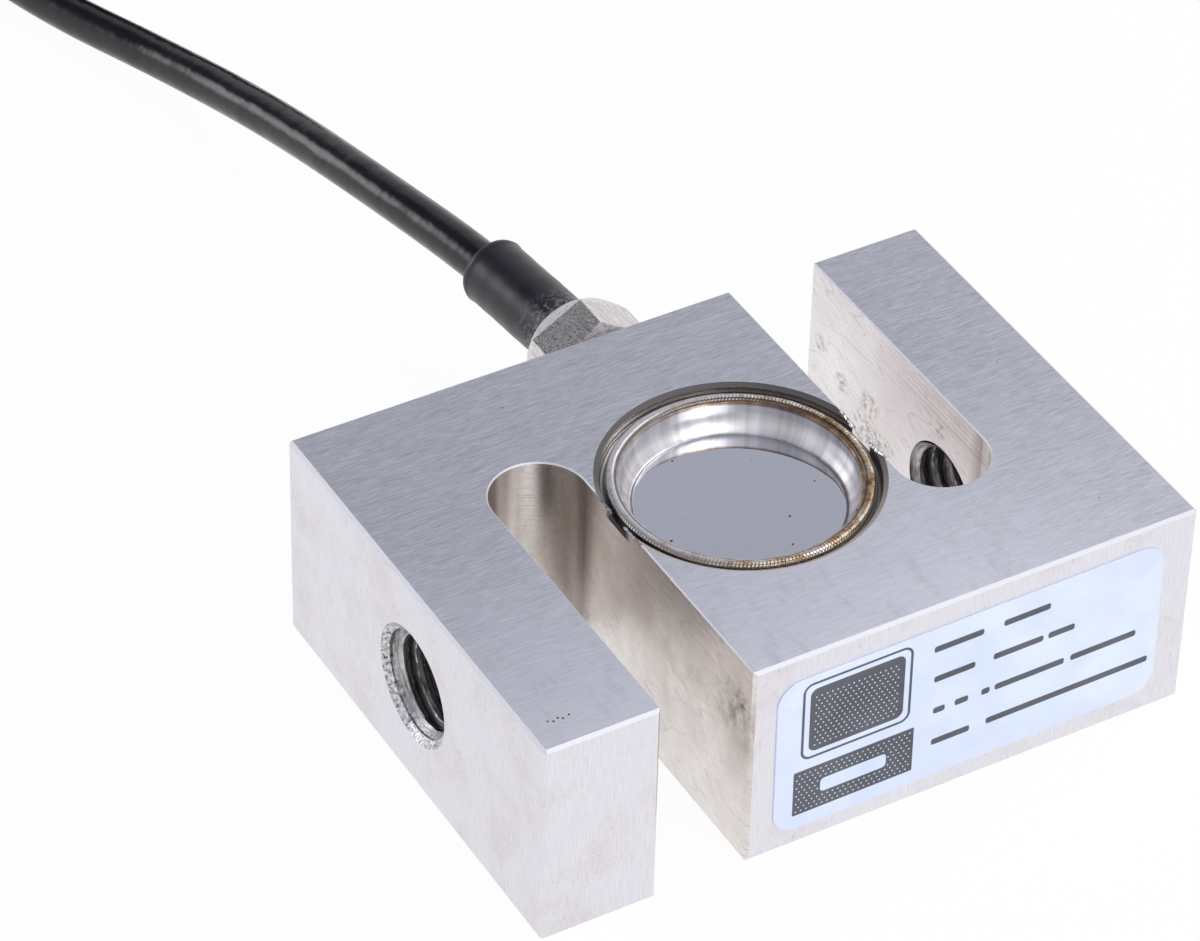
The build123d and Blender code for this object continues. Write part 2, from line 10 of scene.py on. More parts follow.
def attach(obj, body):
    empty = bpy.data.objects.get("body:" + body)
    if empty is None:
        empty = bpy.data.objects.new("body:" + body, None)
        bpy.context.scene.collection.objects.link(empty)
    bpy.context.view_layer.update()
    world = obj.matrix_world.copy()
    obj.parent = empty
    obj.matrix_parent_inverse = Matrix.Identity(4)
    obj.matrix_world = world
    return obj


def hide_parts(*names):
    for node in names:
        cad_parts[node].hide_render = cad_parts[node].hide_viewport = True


# S-type load cell lying on its broad face, with its cable coiled behind it.
# Sizes in the dictionaries are millimetres; mm() turns them into metres.
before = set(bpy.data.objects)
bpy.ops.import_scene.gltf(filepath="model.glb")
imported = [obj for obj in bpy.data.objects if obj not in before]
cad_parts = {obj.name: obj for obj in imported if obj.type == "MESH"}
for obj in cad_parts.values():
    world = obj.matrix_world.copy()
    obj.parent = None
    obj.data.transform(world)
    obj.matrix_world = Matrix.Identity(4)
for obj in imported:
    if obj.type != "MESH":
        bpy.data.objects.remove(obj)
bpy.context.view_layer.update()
print("stage: frame loaded,", len(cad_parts), "nodes")

milli = 0.001
fullTurn = 2 * math.pi
draw = random.Random(7)


def mm(x, y, z):
    return Vector((x, y, z)) * milli


def linear(hexText):
    # sRGB hex to the linear colour that a socket wants
    channels = [int(hexText[i:i + 2], 16) / 255 for i in (1, 3, 5)]
    return [c / 12.92 if c <= 0.04045 else ((c + 0.055) / 1.055) ** 2.4 for c in channels] + [1.0]


def connect(tree, node, inputs):
    # links a node's inputs to other nodes or sockets, or sets them to values
    for key, value in inputs.items():
        if isinstance(value, bpy.types.Node):
            value = value.outputs[0]
        if isinstance(value, bpy.types.NodeSocket):
            tree.links.new(value, node.inputs[key])
        else:
            node.inputs[key].default_value = linear(value) if isinstance(value, str) else value


def addNode(tree, kind, inputs=None, stops=None, **settings):
    # adds a node with its settings, its inputs and the stops of its ramp
    node = tree.nodes.new("ShaderNode" + kind)
    for name, value in settings.items():
        setattr(node, name, value)
    connect(tree, node, inputs or {})
    if stops:
        ramp = node.color_ramp
        while len(ramp.elements) < len(stops):
            ramp.elements.new(0.5)
        for element, (place, color) in zip(ramp.elements, stops):
            element.position = place
            element.color = linear(color) if isinstance(color, str) else (color, color, color, 1)
    return node


def newMaterial(name, **surface):
    # an empty material with one Principled shader, its uniform values on its own sockets
    material = bpy.data.materials.new(name)
    material.use_nodes = True
    tree = material.node_tree
    tree.nodes.clear()
    shader = addNode(tree, "BsdfPrincipled", surface)
    addNode(tree, "OutputMaterial", {"Surface": shader})
    return material, tree, shader


def dress(target, material):
    # gives a piece or a CAD node one material
    target.data.materials.clear()
    target.data.materials.append(material)
    return target


def addPiece(name, verts, faces, smooth=True):
    # a new mesh from points in millimetres, which each caller then attaches to the body
    mesh = bpy.data.meshes.new(name)
    mesh.from_pydata([mm(*v) for v in verts], [], faces)
    mesh.validate()
    working = bmesh.new()
    working.from_mesh(mesh)
    bmesh.ops.recalc_face_normals(working, faces=working.faces)
    working.to_mesh(mesh)
    working.free()
    mesh.polygons.foreach_set("use_smooth", [smooth] * len(mesh.polygons))
    piece = bpy.data.objects.new(name, mesh)
    bpy.context.scene.collection.objects.link(piece)
    return piece


def sharpen(piece, degrees=35):
    # smooth shading that keeps edges over the angle crisp
    piece.data.set_sharp_from_angle(angle=math.radians(degrees))
    return piece


def bridge(faces, low, high, count, closed=True):
    # quads between two rows of count points, which start at low and high
    for k in range(count if closed else count - 1):
        m = (k + 1) % count
        faces.append([low + k, low + m, high + m, high + k])


def lathe(name, profile, place, steps):
    # turns (radius, height) pairs about a local axis; place maps local x, y, z to millimetres
    verts, faces = [], []
    count = len(profile)
    for i in range(steps):
        a = fullTurn * i / steps
        verts += [place(r * math.cos(a), r * math.sin(a), h) for r, h in profile]
    for i in range(steps):
        bridge(faces, (i + 1) % steps * count, i * count, count, closed=False)
    return addPiece(name, verts, faces)


# Camera, at the photograph's place
camera = {"lens": 163.52, "sensor": 36.0, "at": (-230.69, -359.959, 381.579)}
cameraTurn = Matrix((
    (0.86793241, 0.30438824, -0.39248073),
    (-0.49627062, 0.56363290, -0.66032827),
    (0.02021889, 0.76789697, 0.64025420),
))
cameraData = bpy.data.cameras.new("camera")
cameraData.lens = camera["lens"]
cameraData.sensor_width = camera["sensor"]
cameraData.sensor_fit = "HORIZONTAL"
cameraData.clip_start, cameraData.clip_end = 0.01, 20
cameraObject = bpy.data.objects.new("camera", cameraData)
cameraObject.matrix_world = Matrix.Translation(mm(*camera["at"])) @ cameraTurn.to_4x4()
bpy.context.scene.collection.objects.link(cameraObject)
bpy.context.scene.camera = cameraObject
print("stage: camera")

# Cable: one spline from inside the body to the bare end on the coil
cable = {
    "diameter": 5.0,
    "route": [
        (3.7, 19.0, 12.7), (3.8, 38.5, 12.75), (2.2, 58.0, 12.45), (-1.0, 79.0, 10.8), (-2.9, 100.0, 7.2),
        (-7.0, 120.0, 4.1), (-13.2, 138.0, 2.8), (-17.6, 153.0, 3.65), (-17.6, 165.0, 3.65),
    ],
    "centre": (19.9, 190.0),
    "layers": [  # height, then the radius of each turn in the order in which it is wound
        (3.65, (37.5, 32.5, 27.5, 22.5)),
        (8.7, (22.5, 27.5, 32.5, 37.5)),
        (13.75, (37.5, 32.5, 27.5, 22.5)),
        (18.8, (22.5, 27.5, 32.5)),
    ],
    "pointsPerTurn": 20,
    "jogPoints": 4,  # over these the cable moves to the next turn
    "tail": (38.15, 19.3),
    "tailEnd": 90.0,
    "length": 3.0,
    "thin": (0.98, 0.022),  # share of the full diameter along the first stretch, and how much it wavers
}
cableStep = 360 / cable["pointsPerTurn"]
cornerCut = (3 + math.cos(math.radians(cableStep))) / 4  # how far the spline lies inside its points


def coilPoint(angle, radius, height):
    a = math.radians(angle)
    return (cable["centre"][0] + radius * math.cos(a), cable["centre"][1] + radius * math.sin(a), height)


turns = [(radius, height) for height, radii in cable["layers"] for radius in radii] + [cable["tail"]]
cablePoints = list(cable["route"])
angle = 180 - cableStep / 2
for (radius, height), (nextRadius, nextHeight) in zip(turns, turns[1:]):
    for k in range(cable["pointsPerTurn"]):
        share = max(0.0, (k + 1 - cable["pointsPerTurn"] + cable["jogPoints"]) / cable["jogPoints"])
        share = share * share * (3 - 2 * share)
        loose = 0.12 * math.sin(k * 1.7 + radius)
        cablePoints.append(coilPoint(
            angle,
            (radius + (nextRadius - radius) * share + loose) / cornerCut,
            height + (nextHeight - height) * share,
        ))
        angle -= cableStep
while angle % 360 > cable["tailEnd"] - cableStep / 2:
    cablePoints.append(coilPoint(angle, cable["tail"][0] / cornerCut, cable["tail"][1]))
    angle -= cableStep


def addCord(name, points, diameter, resolution=6):
    # a smooth round cord through the control points
    curve = bpy.data.curves.new(name, "CURVE")
    curve.dimensions = "3D"
    curve.bevel_depth = 1.0  # times each point's radius, which also sets the box that the curve reports
    curve.bevel_resolution = resolution
    curve.resolution_u = 8
    curve.use_fill_caps = True
    spline = curve.splines.new("NURBS")
    spline.points.add(len(points) - 1)
    for point, place in zip(spline.points, points):
        point.co = (*mm(*place), 1)
        point.radius = diameter / 2 * milli
    spline.order_u = 3
    spline.use_endpoint_u = True
    cord = bpy.data.objects.new(name, curve)
    bpy.context.scene.collection.objects.link(cord)
    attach(cord, "root")
    return cord


cableCord = addCord("cable", cablePoints, cable["diameter"], resolution=8)
for index, point in enumerate(cableCord.data.splines[0].points[1:len(cable["route"])]):
    point.radius *= cable["thin"][0] + cable["thin"][1] * math.sin(2.4 * index)
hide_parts("cable_run", "cable_coil", "cable_tail")

# Flying leads: four insulated cores out of the cuff, their tips stripped and tinned
leads = {
    "diameter": 1.1, "stripped": 5.0, "tip": 0.62, "spacing": 1.2, "radius": 38.15, "low": 17.0, "high": 19.3,
    "waver": 0.18,
    # each core's colour, and its side of the cable's axis inside the cuff
    "cores": (("red", -1, -1), ("black", -1, 1), ("green", 1, -1), ("white", 1, 1)), "inCuff": 0.6,
    # degrees past the cuff, share of the way across to its own lane, share of the way down
    "run": (
        (-6, 0, 0), (2, 0, 0), (10, 0.5, 0.05), (18, 0.95, 0.35), (26, 1, 0.75), (34, 1, 0.9), (40, 1, 0.9),
    ),
}
leadPieces = []
for index, (color, across, above) in enumerate(leads["cores"]):
    settled = leads["radius"] + (index - 1.5) * leads["spacing"]
    first = (leads["radius"] + across * leads["inCuff"], leads["high"] + above * leads["inCuff"])
    low = leads["low"] + 0.25 + 0.1 * (index % 2)
    route = []
    for step, spread, drop in leads["run"]:
        waver = leads["waver"] * math.sin(step + 2 * index)
        radius = first[0] + (settled - first[0]) * spread + waver
        route.append(coilPoint(cable["tailEnd"] - step, radius / 0.995, first[1] + (low - first[1]) * drop))
    lead = addCord("lead_" + color, route, leads["diameter"], resolution=4)
    lead.data.resolution_u = 6
    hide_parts("flying_lead_" + color)
    # the stripped tip goes on from the lead's last point
    tipAngle, tipRadius = cable["tailEnd"] - step, settled + waver
    tipHeight = first[1] + (low - first[1]) * drop
    tipStep = math.degrees(leads["stripped"] / tipRadius)
    tip = addCord("lead_tip_" + color, [
        coilPoint(tipAngle + 1, tipRadius, tipHeight),
        coilPoint(tipAngle - tipStep / 2, tipRadius, tipHeight),
        coilPoint(tipAngle - tipStep, tipRadius + 0.2, tipHeight - 0.1),
    ], leads["tip"], resolution=3)
    leadPieces.append((lead, tip, color))
print("stage: cable, coil and leads")

# Sleeve over the cable at the nut
sleeve = {
    "outer": 3.925, "inner": 2.75, "from": (3.82, 39.15, 12.78), "to": (2.26, 56.67, 12.42),
    "rounding": 0.35, "lip": 0.11, "lined": 3.0,
}
sleeveAxis = Vector(sleeve["to"]) - Vector(sleeve["from"])
sleeveLength = sleeveAxis.length
sleeveTurn = sleeveAxis.to_track_quat("Z", "Y").to_matrix()


def onSleeve(x, y, z):
    return Vector(sleeve["from"]) + sleeveTurn @ Vector((x, y, z))


sleeveProfile = [(sleeve["inner"], 0), (sleeve["outer"], 0)]
for k in range(1, 60):  # shrunk on by hand, so its outline isn't quite straight
    h = (sleeveLength - sleeve["rounding"]) * k / 60
    lip = sleeve["lip"] * max(0.0, 1 - abs(sleeveLength - 0.55 - h) / 0.6)
    sleeveProfile.append((sleeve["outer"] + lip + 0.014 * math.sin(h * 0.9) + 0.008 * math.sin(h * 2.3), h))
for k in range(7):
    a = math.pi / 2 * k / 6
    sleeveProfile.append((
        sleeve["outer"] - sleeve["rounding"] * (1 - math.cos(a)),
        sleeveLength - sleeve["rounding"] * (1 - math.sin(a)),
    ))
sleeveProfile += [(sleeve["inner"], sleeveLength), (sleeve["inner"], sleeveLength - sleeve["lined"])]
sleevePiece = sharpen(lathe("sleeve", sleeveProfile, onSleeve, steps=96), 50)
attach(sleevePiece, "root")
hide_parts("cable_sleeve")

print("stage: sleeve")

# Sealing cups and their weld seams, one in each broad face
cup = {
    "outer": 12.85, "thickness": 0.4, "rimDepth": 0.6, "wall": 1.0, "bend": 3.0, "bendAngle": 51.6,
    "floorRadius": 11.0, "floorRise": 0.2, "steps": 256,
}
blockTop = 25.4
middleHeight = blockTop / 2 * milli


def onTop(x, y, z):
    return (x, y, z)


def onBottom(x, y, z):
    return (x, -y, blockTop - z)


def cupProfile():
    rim = blockTop - cup["rimDepth"]
    bendHeight = rim - cup["wall"]
    inner = cup["outer"] - cup["thickness"]
    profile = [
        (cup["outer"], rim - 0.6), (cup["outer"], rim - 0.1), (cup["outer"] - 0.1, rim),
        (inner + 0.08, rim), (inner, rim - 0.08),
    ]
    for k in range(17):
        a = math.radians(cup["bendAngle"] * k / 16)
        profile.append((inner - cup["bend"] * (1 - math.cos(a)), bendHeight - cup["bend"] * math.sin(a)))
    footRadius, footHeight = profile[-1]
    floor = footHeight + cup["floorRise"]
    profile += [
        (footRadius - 0.06, footHeight - 0.01),
        (footRadius - 0.14, footHeight + 0.02),
        (cup["floorRadius"] + 0.03, floor - 0.04),
        (cup["floorRadius"], floor - 0.008),
        (cup["floorRadius"] - 0.06, floor),
    ]
    profile += [(r, floor) for r in (10.5, 8, 5, 2, 0.001)]
    return profile


cupPieces = []
for side, place in (("top", onTop), ("bottom", onBottom)):
    piece = sharpen(lathe(side + "_cup", cupProfile(), place, steps=cup["steps"]), 40)
    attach(piece, "root")
    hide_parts(side + "_seal_cup")
    cupPieces.append(piece)

seam = {
    "inner": 12.72, "outer": 13.86, "height": 0.32, "rippleLength": 0.38, "ripple": 0.035,
    "steps": 2000, "across": 12,
}


def addSeam(name, place):
    # a low bead of overlapping half-moon ripples, as a pulsed torch leaves them
    middle = (seam["inner"] + seam["outer"]) / 2
    half = (seam["outer"] - seam["inner"]) / 2
    ripples = round(fullTurn * middle / seam["rippleLength"])
    verts, faces = [], []
    for i in range(seam["steps"]):
        a = fullTurn * i / seam["steps"]
        wander = 0.05 * math.sin(3 * a + 1) + 0.03 * math.sin(11 * a) + 0.02 * math.sin(29 * a + 2)
        for k in range(seam["across"] + 1):
            s = 2 * k / seam["across"] - 1
            phase = (ripples * a / fullTurn + 0.45 * s * s) % 1
            crown = math.sqrt(max(0.0, 1 - s * s))
            bump = seam["ripple"] * (1 - phase) * crown
            edge = 0.03 * math.sin(ripples * a + 2 * s) * abs(s)
            radius = middle + (half + edge) * s + wander * crown
            verts.append(place(
                radius * math.cos(a), radius * math.sin(a),
                blockTop - cup["rimDepth"] + (seam["height"] - seam["ripple"]) * crown + bump - 0.02,
            ))
    count = seam["across"] + 1
    for i in range(seam["steps"]):
        bridge(faces, (i + 1) % seam["steps"] * count, i * count, count, closed=False)
    return addPiece(name, verts, faces)


seamPieces = []
for side, place in (("top", onTop), ("bottom", onBottom)):
    piece = addSeam(side + "_seam", place)
    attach(piece, "root")
    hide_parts(side + "_weld_seam")
    seamPieces.append(piece)
print("stage: cups and seams")

# M12 x 1.75 threads in both legs, with the rough countersink at their mouths
thread = {
    "major": 5.985, "minor": 5.08, "pitch": 1.75, "inside": 25.0, "outside": 38.09, "countersink": 6.78,
    "leadIn": 0.55, "chatter": 0.07, "phase": 0.22, "around": 180, "perPitch": 20,
    "mouth": 1.44, "mouthRows": 12,  # the rough mouth is this deep and has its own finer rows
    "rootHalf": 0.09, "crestHalf": 0.14,  # half widths, as shares of the pitch
    "innerEnd": 5.75, "grain": 0.012,  # radius where the inner end's bevel starts, and the cut's roughness
}


def threadRadius(phase):
    # sixty-degree flanks between a narrow root and a wider crest
    rise = thread["major"] - thread["minor"]
    flank = 0.5 - thread["rootHalf"] - thread["crestHalf"]
    share = min(1.0, max(0.0, (abs(phase - 0.5) - thread["rootHalf"]) / flank))
    return thread["major"] - rise * share


def addThread(name, side):
    count = thread["around"]
    mouth, mouthRows = thread["mouth"], thread["mouthRows"]
    cut = thread["outside"] - thread["inside"] - mouth
    rows = round(cut / thread["pitch"] * thread["perPitch"])
    depths = [mouth / mouthRows * i for i in range(mouthRows)]
    depths += [mouth + cut * i / rows for i in range(rows + 1)]
    verts, faces = [], []
    for depth in depths:
        along = thread["outside"] - depth
        for j in range(count):
            a = fullTurn * j / count
            radius = threadRadius((along / thread["pitch"] + j / count + thread["phase"]) % 1)
            rough = noise.noise(Vector((a * 14, depth * 1.4, 3.0)))
            rough += 0.7 * noise.noise(Vector((a * 40, depth * 5, 9.0)))
            if depth < thread["leadIn"]:
                radius = thread["countersink"] - depth - thread["chatter"] * abs(rough) * min(1, depth * 3)
            else:
                cone = thread["countersink"] - depth - thread["chatter"] * 0.6 * abs(rough)
                radius = max(radius, min(thread["major"], cone)) - thread["grain"] * rough
            radius = max(radius, min(thread["major"], thread["innerEnd"] - (along - thread["inside"])))
            verts.append((side * along, radius * math.cos(a), blockTop / 2 + radius * math.sin(a)))
    for i in range(len(depths) - 1):
        bridge(faces, i * count, (i + 1) * count, count)
    piece = addPiece(name, verts, faces)
    # the ring is open at both ends, so its faces are turned to the axis by hand
    polygon = piece.data.polygons[0]
    outward = polygon.center - Vector((0, 0, middleHeight))
    outward.x = 0
    if polygon.normal.dot(outward) > 0:
        piece.data.flip_normals()
    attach(piece, "root")
    return sharpen(piece, 30)


threadPieces = [addThread("thread_left", -1), addThread("thread_right", 1)]
print("stage: threads")

# Label film on the front face, with its plain printed shapes
label = {
    "centre": (11.4, -26.9, 12.5), "size": (46.0, 20.1), "corner": 2.8, "thickness": 0.15, "tilt": 0.6,
    "frame": (-20.1, -1.0, -7.2, 9.2), "frameCorner": 1.2, "frameLine": 0.3,
    "field": (-19.2, -0.1, -8.1, 8.3), "block": (-20.8, -8.2, -6.6, -2.3),
    "blockBar": (-17.6, -6.2, -9.8, -4.4), "dotPitch": 0.62, "dotSize": 0.2, "ink": 0.012,
    # each row of print: its height, then the start and end of its plain bars
    "rows": (
        (7.3, ((-4.7, 1.2), (3.6, 9.2))),
        (3.2, ((-4.5, 0.4), (2.6, 8.6), (9.2, 12.4))),
        (-1.1, ((-4.4, -3.0), (-1.8, -0.2), (1.4, 2.4), (3.0, 11.4), (12.2, 20.2))),
        (-5.4, ((-4.4, 0.2), (2.2, 22.0))),
    ),
    "barHeight": 0.8,
    "gap": 0.005,  # of glue under the film
    "sunk": 0.004,  # how far each printed layer starts inside the one below
}
labelCos, labelSin = math.cos(math.radians(label["tilt"])), math.sin(math.radians(label["tilt"]))


def onLabel(u, v, out):
    x, y, z = label["centre"]
    return (x + u * labelCos - v * labelSin, y - out, z + u * labelSin + v * labelCos)


def roundedOutline(low, high, corner, steps=8):
    # a rectangle with round corners, anticlockwise from its upper right one
    left, right = low[0] + corner, high[0] - corner
    bottom, top = low[1] + corner, high[1] - corner
    points = []
    for quarter, (x, y) in enumerate(((right, top), (left, top), (left, bottom), (right, bottom))):
        for k in range(steps + 1):
            a = math.radians(90 * (quarter + k / steps))
            points.append((x + corner * math.cos(a), y + corner * math.sin(a)))
    return points


def shrink(points, by):
    # moves a closed outline inwards
    count = len(points)
    moved = []
    for i, (x, y) in enumerate(points):
        px, py = points[i - 1]
        nx, ny = points[(i + 1) % count]
        length = math.hypot(nx - px, ny - py) or 1
        moved.append((x - by * (ny - py) / length, y + by * (nx - px) / length))
    return moved


def addFilm(name, outlines, base, height, place, rounding=0.0):
    # thin plates with the given outlines, lying base above the surface
    verts, faces = [], []
    for outline in outlines:
        start, count = len(verts), len(outline)
        layers = [(0.0, base), (0.0, base + height - rounding)]
        if rounding:
            layers.append((rounding, base + height))
        for inset, out in layers:
            verts += [place(u, v, out) for u, v in (shrink(outline, inset) if inset else outline)]
        for layer in range(len(layers) - 1):
            bridge(faces, start + layer * count, start + (layer + 1) * count, count)
        faces.append([start + (len(layers) - 1) * count + i for i in range(count)])
        faces.append([start + i for i in reversed(range(count))])
    return addPiece(name, verts, faces, smooth=False)


width, high = label["size"]
filmOutline = roundedOutline((-width / 2, -high / 2), (width / 2, high / 2), label["corner"], 14)
labelFilm = addFilm(
    "label_film", [filmOutline], label["gap"], label["thickness"] - label["gap"], onLabel, rounding=0.05)
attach(labelFilm, "root")
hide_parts("face_label")


def addRing(verts, faces, outer, inner, base, height, place):
    # a flat printed line between two outlines of the same number of points
    start, count = len(verts), len(outer)
    for points, out in ((outer, base), (outer, base + height), (inner, base + height), (inner, base)):
        verts += [place(u, v, out) for u, v in points]
    for layer in range(4):
        bridge(faces, start + layer * count, start + (layer + 1) % 4 * count, count)


plates = []
x0, y0, x1, y1 = label["field"]
plates.append(roundedOutline((x0, y0), (x1, y1), 0.9, 6))
x0, y0, x1, y1 = label["block"]
plates.append(roundedOutline((x0, y0), (x1, y1), 0.15, 3))
for height, spans in label["rows"]:
    half = label["barHeight"] / 2
    for start, end in spans:
        plates.append(roundedOutline((start, height - half), (end, height + half), 0.25, 3))
inkBase = label["thickness"] - label["sunk"]
labelInk = addFilm("label_ink", plates, inkBase, label["ink"], onLabel)
verts, faces = [], []
x0, y0, x1, y1 = label["frame"]
frameOutline = roundedOutline((x0, y0), (x1, y1), label["frameCorner"])
addRing(verts, faces, frameOutline, shrink(frameOutline, label["frameLine"]), inkBase, label["ink"], onLabel)
labelLine = addPiece("label_frame", verts, faces, smooth=False)
# the dark fields are broken by rows of pale dots, as a coarse screen prints them
dots = []
left, low, right, top = [
    edge + outwards * label["dotSize"] for edge, outwards in zip(label["blockBar"], (-1, -1, 1, 1))]
for (x0, y0, x1, y1), corner in ((label["field"], 0.5), (label["block"], 0.2)):
    rows = int((y1 - y0 - 2 * corner) / label["dotPitch"] * 1.15)
    for r in range(rows):
        v = y0 + corner + 0.25 + r * label["dotPitch"] / 1.15
        u = x0 + corner + 0.2 + (r % 2) * label["dotPitch"] / 2
        while u < x1 - corner:
            if not (left < u < right and low < v < top):  # the block's bar has none under it
                size = label["dotSize"] / 2
                corners = (fullTurn * k / 6 for k in range(6))
                dots.append([(u + size * math.cos(a), v + size * math.sin(a)) for a in corners])
            u += label["dotPitch"]
x0, y0, x1, y1 = label["blockBar"]
dots.append(roundedOutline((x0, y0), (x1, y1), 0.5, 5))
labelDots = addFilm("label_dots", dots, inkBase + label["ink"] - label["sunk"], 0.01, onLabel)
for piece in (labelInk, labelLine, labelDots):
    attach(piece, "root")
print("stage: label")

# Small marks of making: burrs where the groove breaks into the slots, spatter, punch dots
marks = {
    "burrWall": 14.5, "burrSpan": (1.2, 4.6), "burrSize": 0.22, "burrSteps": 22,
    "spatter": (
        (-2.7, 9.0, 0.13), (-9.2, -1.9, 0.16), (8.6, -0.7, 0.12), (3.4, -4.3, 0.15), (1.4, -8.2, 0.14),
        (4.6, 5.2, 0.07), (-4.5, 3.6, 0.06), (-6.2, 0.4, 0.06), (6.2, 2.2, 0.06), (-3.0, -6.0, 0.06),
    ),
    "topDirt": ((10.9, -6.0), (7.5, -10.4), (2.5, -14.3), (-16.2, 21.0), (33.1, 3.0), (30.2, -20.5)),
    "topDirtSize": 0.1,
    "punch": ((-35.6, -23.1), (-35.1, -23.35), (-34.5, -23.1), (-34.1, -23.4), (-33.3, -23.2)),
    "punchSize": 0.13,
}


def addFlakes(name, places, height, place):
    # small ragged scales lying on a face
    verts, faces = [], []
    for x, y, size in places:
        start, count = len(verts), 7
        turn = draw.random() * fullTurn
        for level, keep in ((height - 0.01, 1.0), (height + size * 0.28, 0.55)):
            for k in range(count):
                a = turn + fullTurn * k / count
                r = size * keep * (0.65 + 0.7 * draw.random())
                verts.append(place(x + r * math.cos(a) * 1.2, y + r * math.sin(a), level))
        bridge(faces, start, start + count, count)
        faces.append([start + count + k for k in range(count)])
        faces.append([start + k for k in reversed(range(count))])
    return addPiece(name, verts, faces, smooth=False)


def addBurrs(name, place):
    # torn edge of the groove's thin wall, at each end of both gaps
    verts, faces = [], []
    x, steps = marks["burrWall"], marks["burrSteps"]
    near, far = marks["burrSpan"]
    for side in (-1, 1):
        for end in (-1, 1):
            start = len(verts)
            for k in range(steps + 1):
                y = end * (near + (far - near) * k / steps)
                ragged = marks["burrSize"] * draw.random() * (1 - k / steps * 0.7)
                drop = 0.3 * max(0.0, 1 - abs(y) / 4.2)
                verts.append(place(side * (x + 0.12), y, blockTop - 0.1 - drop))
                verts.append(place(side * (x - 0.02 - 0.6 * ragged), y, blockTop - drop + 0.35 * ragged))
                verts.append(place(side * (x - 0.16 - ragged), y, blockTop - 0.16 - drop - 0.4 * ragged))
            for k in range(steps):
                bridge(faces, start + 3 * k, start + 3 * k + 3, 3)
            faces.append([start, start + 1, start + 2])
            faces.append([start + 3 * steps + c for c in (2, 1, 0)])
    return addPiece(name, verts, faces, smooth=False)


burrPieces = [addBurrs("groove_burrs_top", onTop), addBurrs("groove_burrs_bottom", onBottom)]
bendDrop = cup["bend"] * math.sin(math.radians(cup["bendAngle"]))
cupFloor = blockTop - cup["rimDepth"] - cup["wall"] - bendDrop + cup["floorRise"]
spatterPiece = addFlakes("weld_spatter", marks["spatter"], cupFloor, onTop)
specks = [(x, y, marks["topDirtSize"]) for x, y in marks["topDirt"]]
specks += [(x, y, marks["punchSize"]) for x, y in marks["punch"]]
dirtPiece = addFlakes("face_specks", specks, blockTop, onTop)
for piece in burrPieces + [spatterPiece, dirtPiece]:
    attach(piece, "root")
print("stage: marks of making")


# Materials
def stretched(tree, place, x, y, z, detail=3.0, roughness=0.6, offset=0.0):
    # noise whose features measure x, y and z millimetres
    mapping = addNode(tree, "Mapping", {
        "Vector": place, "Location": (offset, offset * 0.7, offset * 1.3),
        "Scale": (1 / (x * milli), 1 / (y * milli), 1 / (z * milli)),
    })
    return addNode(tree, "TexNoise", {
        "Vector": mapping, "Scale": 1.0, "Detail": detail, "Roughness": roughness})


def product(tree, share, *others):
    # shares and amounts multiplied together
    for other in others:
        share = addNode(tree, "Math", {0: share, 1: other}, operation="MULTIPLY")
    return share


def summed(tree, total, *parts):
    # a value plus each pattern times its amount
    for pattern, amount in parts:
        total = addNode(tree, "Math", {0: pattern, 1: amount, 2: total}, operation="MULTIPLY_ADD")
    return total


def span(start, end, low=0.0, high=1.0):
    # the inputs that turn a value from start to end into one from low to high
    return {"From Min": start, "From Max": end, "To Min": low, "To Max": high}


def band(tree, value, low, high, soft):
    # 1 between low and high, falling to 0 over soft
    rise = addNode(tree, "MapRange", {"Value": value, **span(low - soft, low)})
    fall = addNode(tree, "MapRange", {"Value": value, **span(high, high + soft, 1.0, 0.0)})
    return product(tree, rise, fall)


def nearTo(tree, place, spot, reach, most=1.0):
    # most at the spot, falling to 0 where it is reach away, both in millimetres
    away = addNode(tree, "VectorMath", {0: place, 1: tuple(mm(*spot))}, operation="DISTANCE").outputs["Value"]
    return addNode(tree, "MapRange", {"Value": away, **span(0.0, reach * milli, most, 0.0)})


def coated(tree, tone, *coats, where=None):
    # lays colours over one another: each coat is a pattern, the stops that turn it into a share, if it needs
    # any, and a colour; where keeps the coats to one region
    for share, *stops, color in coats:
        if stops:
            share = addNode(tree, "ValToRGB", {"Fac": share}, stops=stops)
        if where is not None:
            share = product(tree, share, where)
        tone = addNode(tree, "MixRGB", {"Fac": share, "Color1": tone, "Color2": color})
    return tone


def whereabouts(tree):
    # the object's own coordinates, and the same measured round the block's upright axis
    place = addNode(tree, "TexCoord").outputs["Object"]
    x, y, z = addNode(tree, "SeparateXYZ", {0: place}).outputs
    flat = addNode(tree, "CombineXYZ", {"X": x, "Y": y})
    above = addNode(tree, "Math", {0: z, 1: middleHeight}, operation="SUBTRACT")
    return SimpleNamespace(
        place=place, x=x, y=y, z=z, above=above,
        absX=addNode(tree, "Math", {0: x}, operation="ABSOLUTE"),
        fromMiddle=addNode(tree, "Math", {0: above}, operation="ABSOLUTE"),
        radius=addNode(tree, "VectorMath", {0: flat}, operation="LENGTH").outputs["Value"],
        direction=addNode(tree, "VectorMath", {0: flat}, operation="NORMALIZE"),
    )


def speckled(name, dark, light, scale, detail=3.0, stops=(0.35, 0.65), bump=None, **surface):
    # a finish that wanders between two colours; bump is its strength and its depth in metres
    material, tree, shader = newMaterial(name, **surface)
    place = addNode(tree, "TexCoord").outputs["Object"]
    specks = addNode(tree, "TexNoise", {"Vector": place, "Scale": scale, "Detail": detail})
    connect(tree, shader, {"Base Color": addNode(
        tree, "ValToRGB", {"Fac": specks}, stops=tuple(zip(stops, (dark, light))))})
    if bump:
        connect(tree, shader, {"Normal": addNode(
            tree, "Bump", {"Height": specks, "Strength": bump[0], "Distance": bump[1]})})
    return material
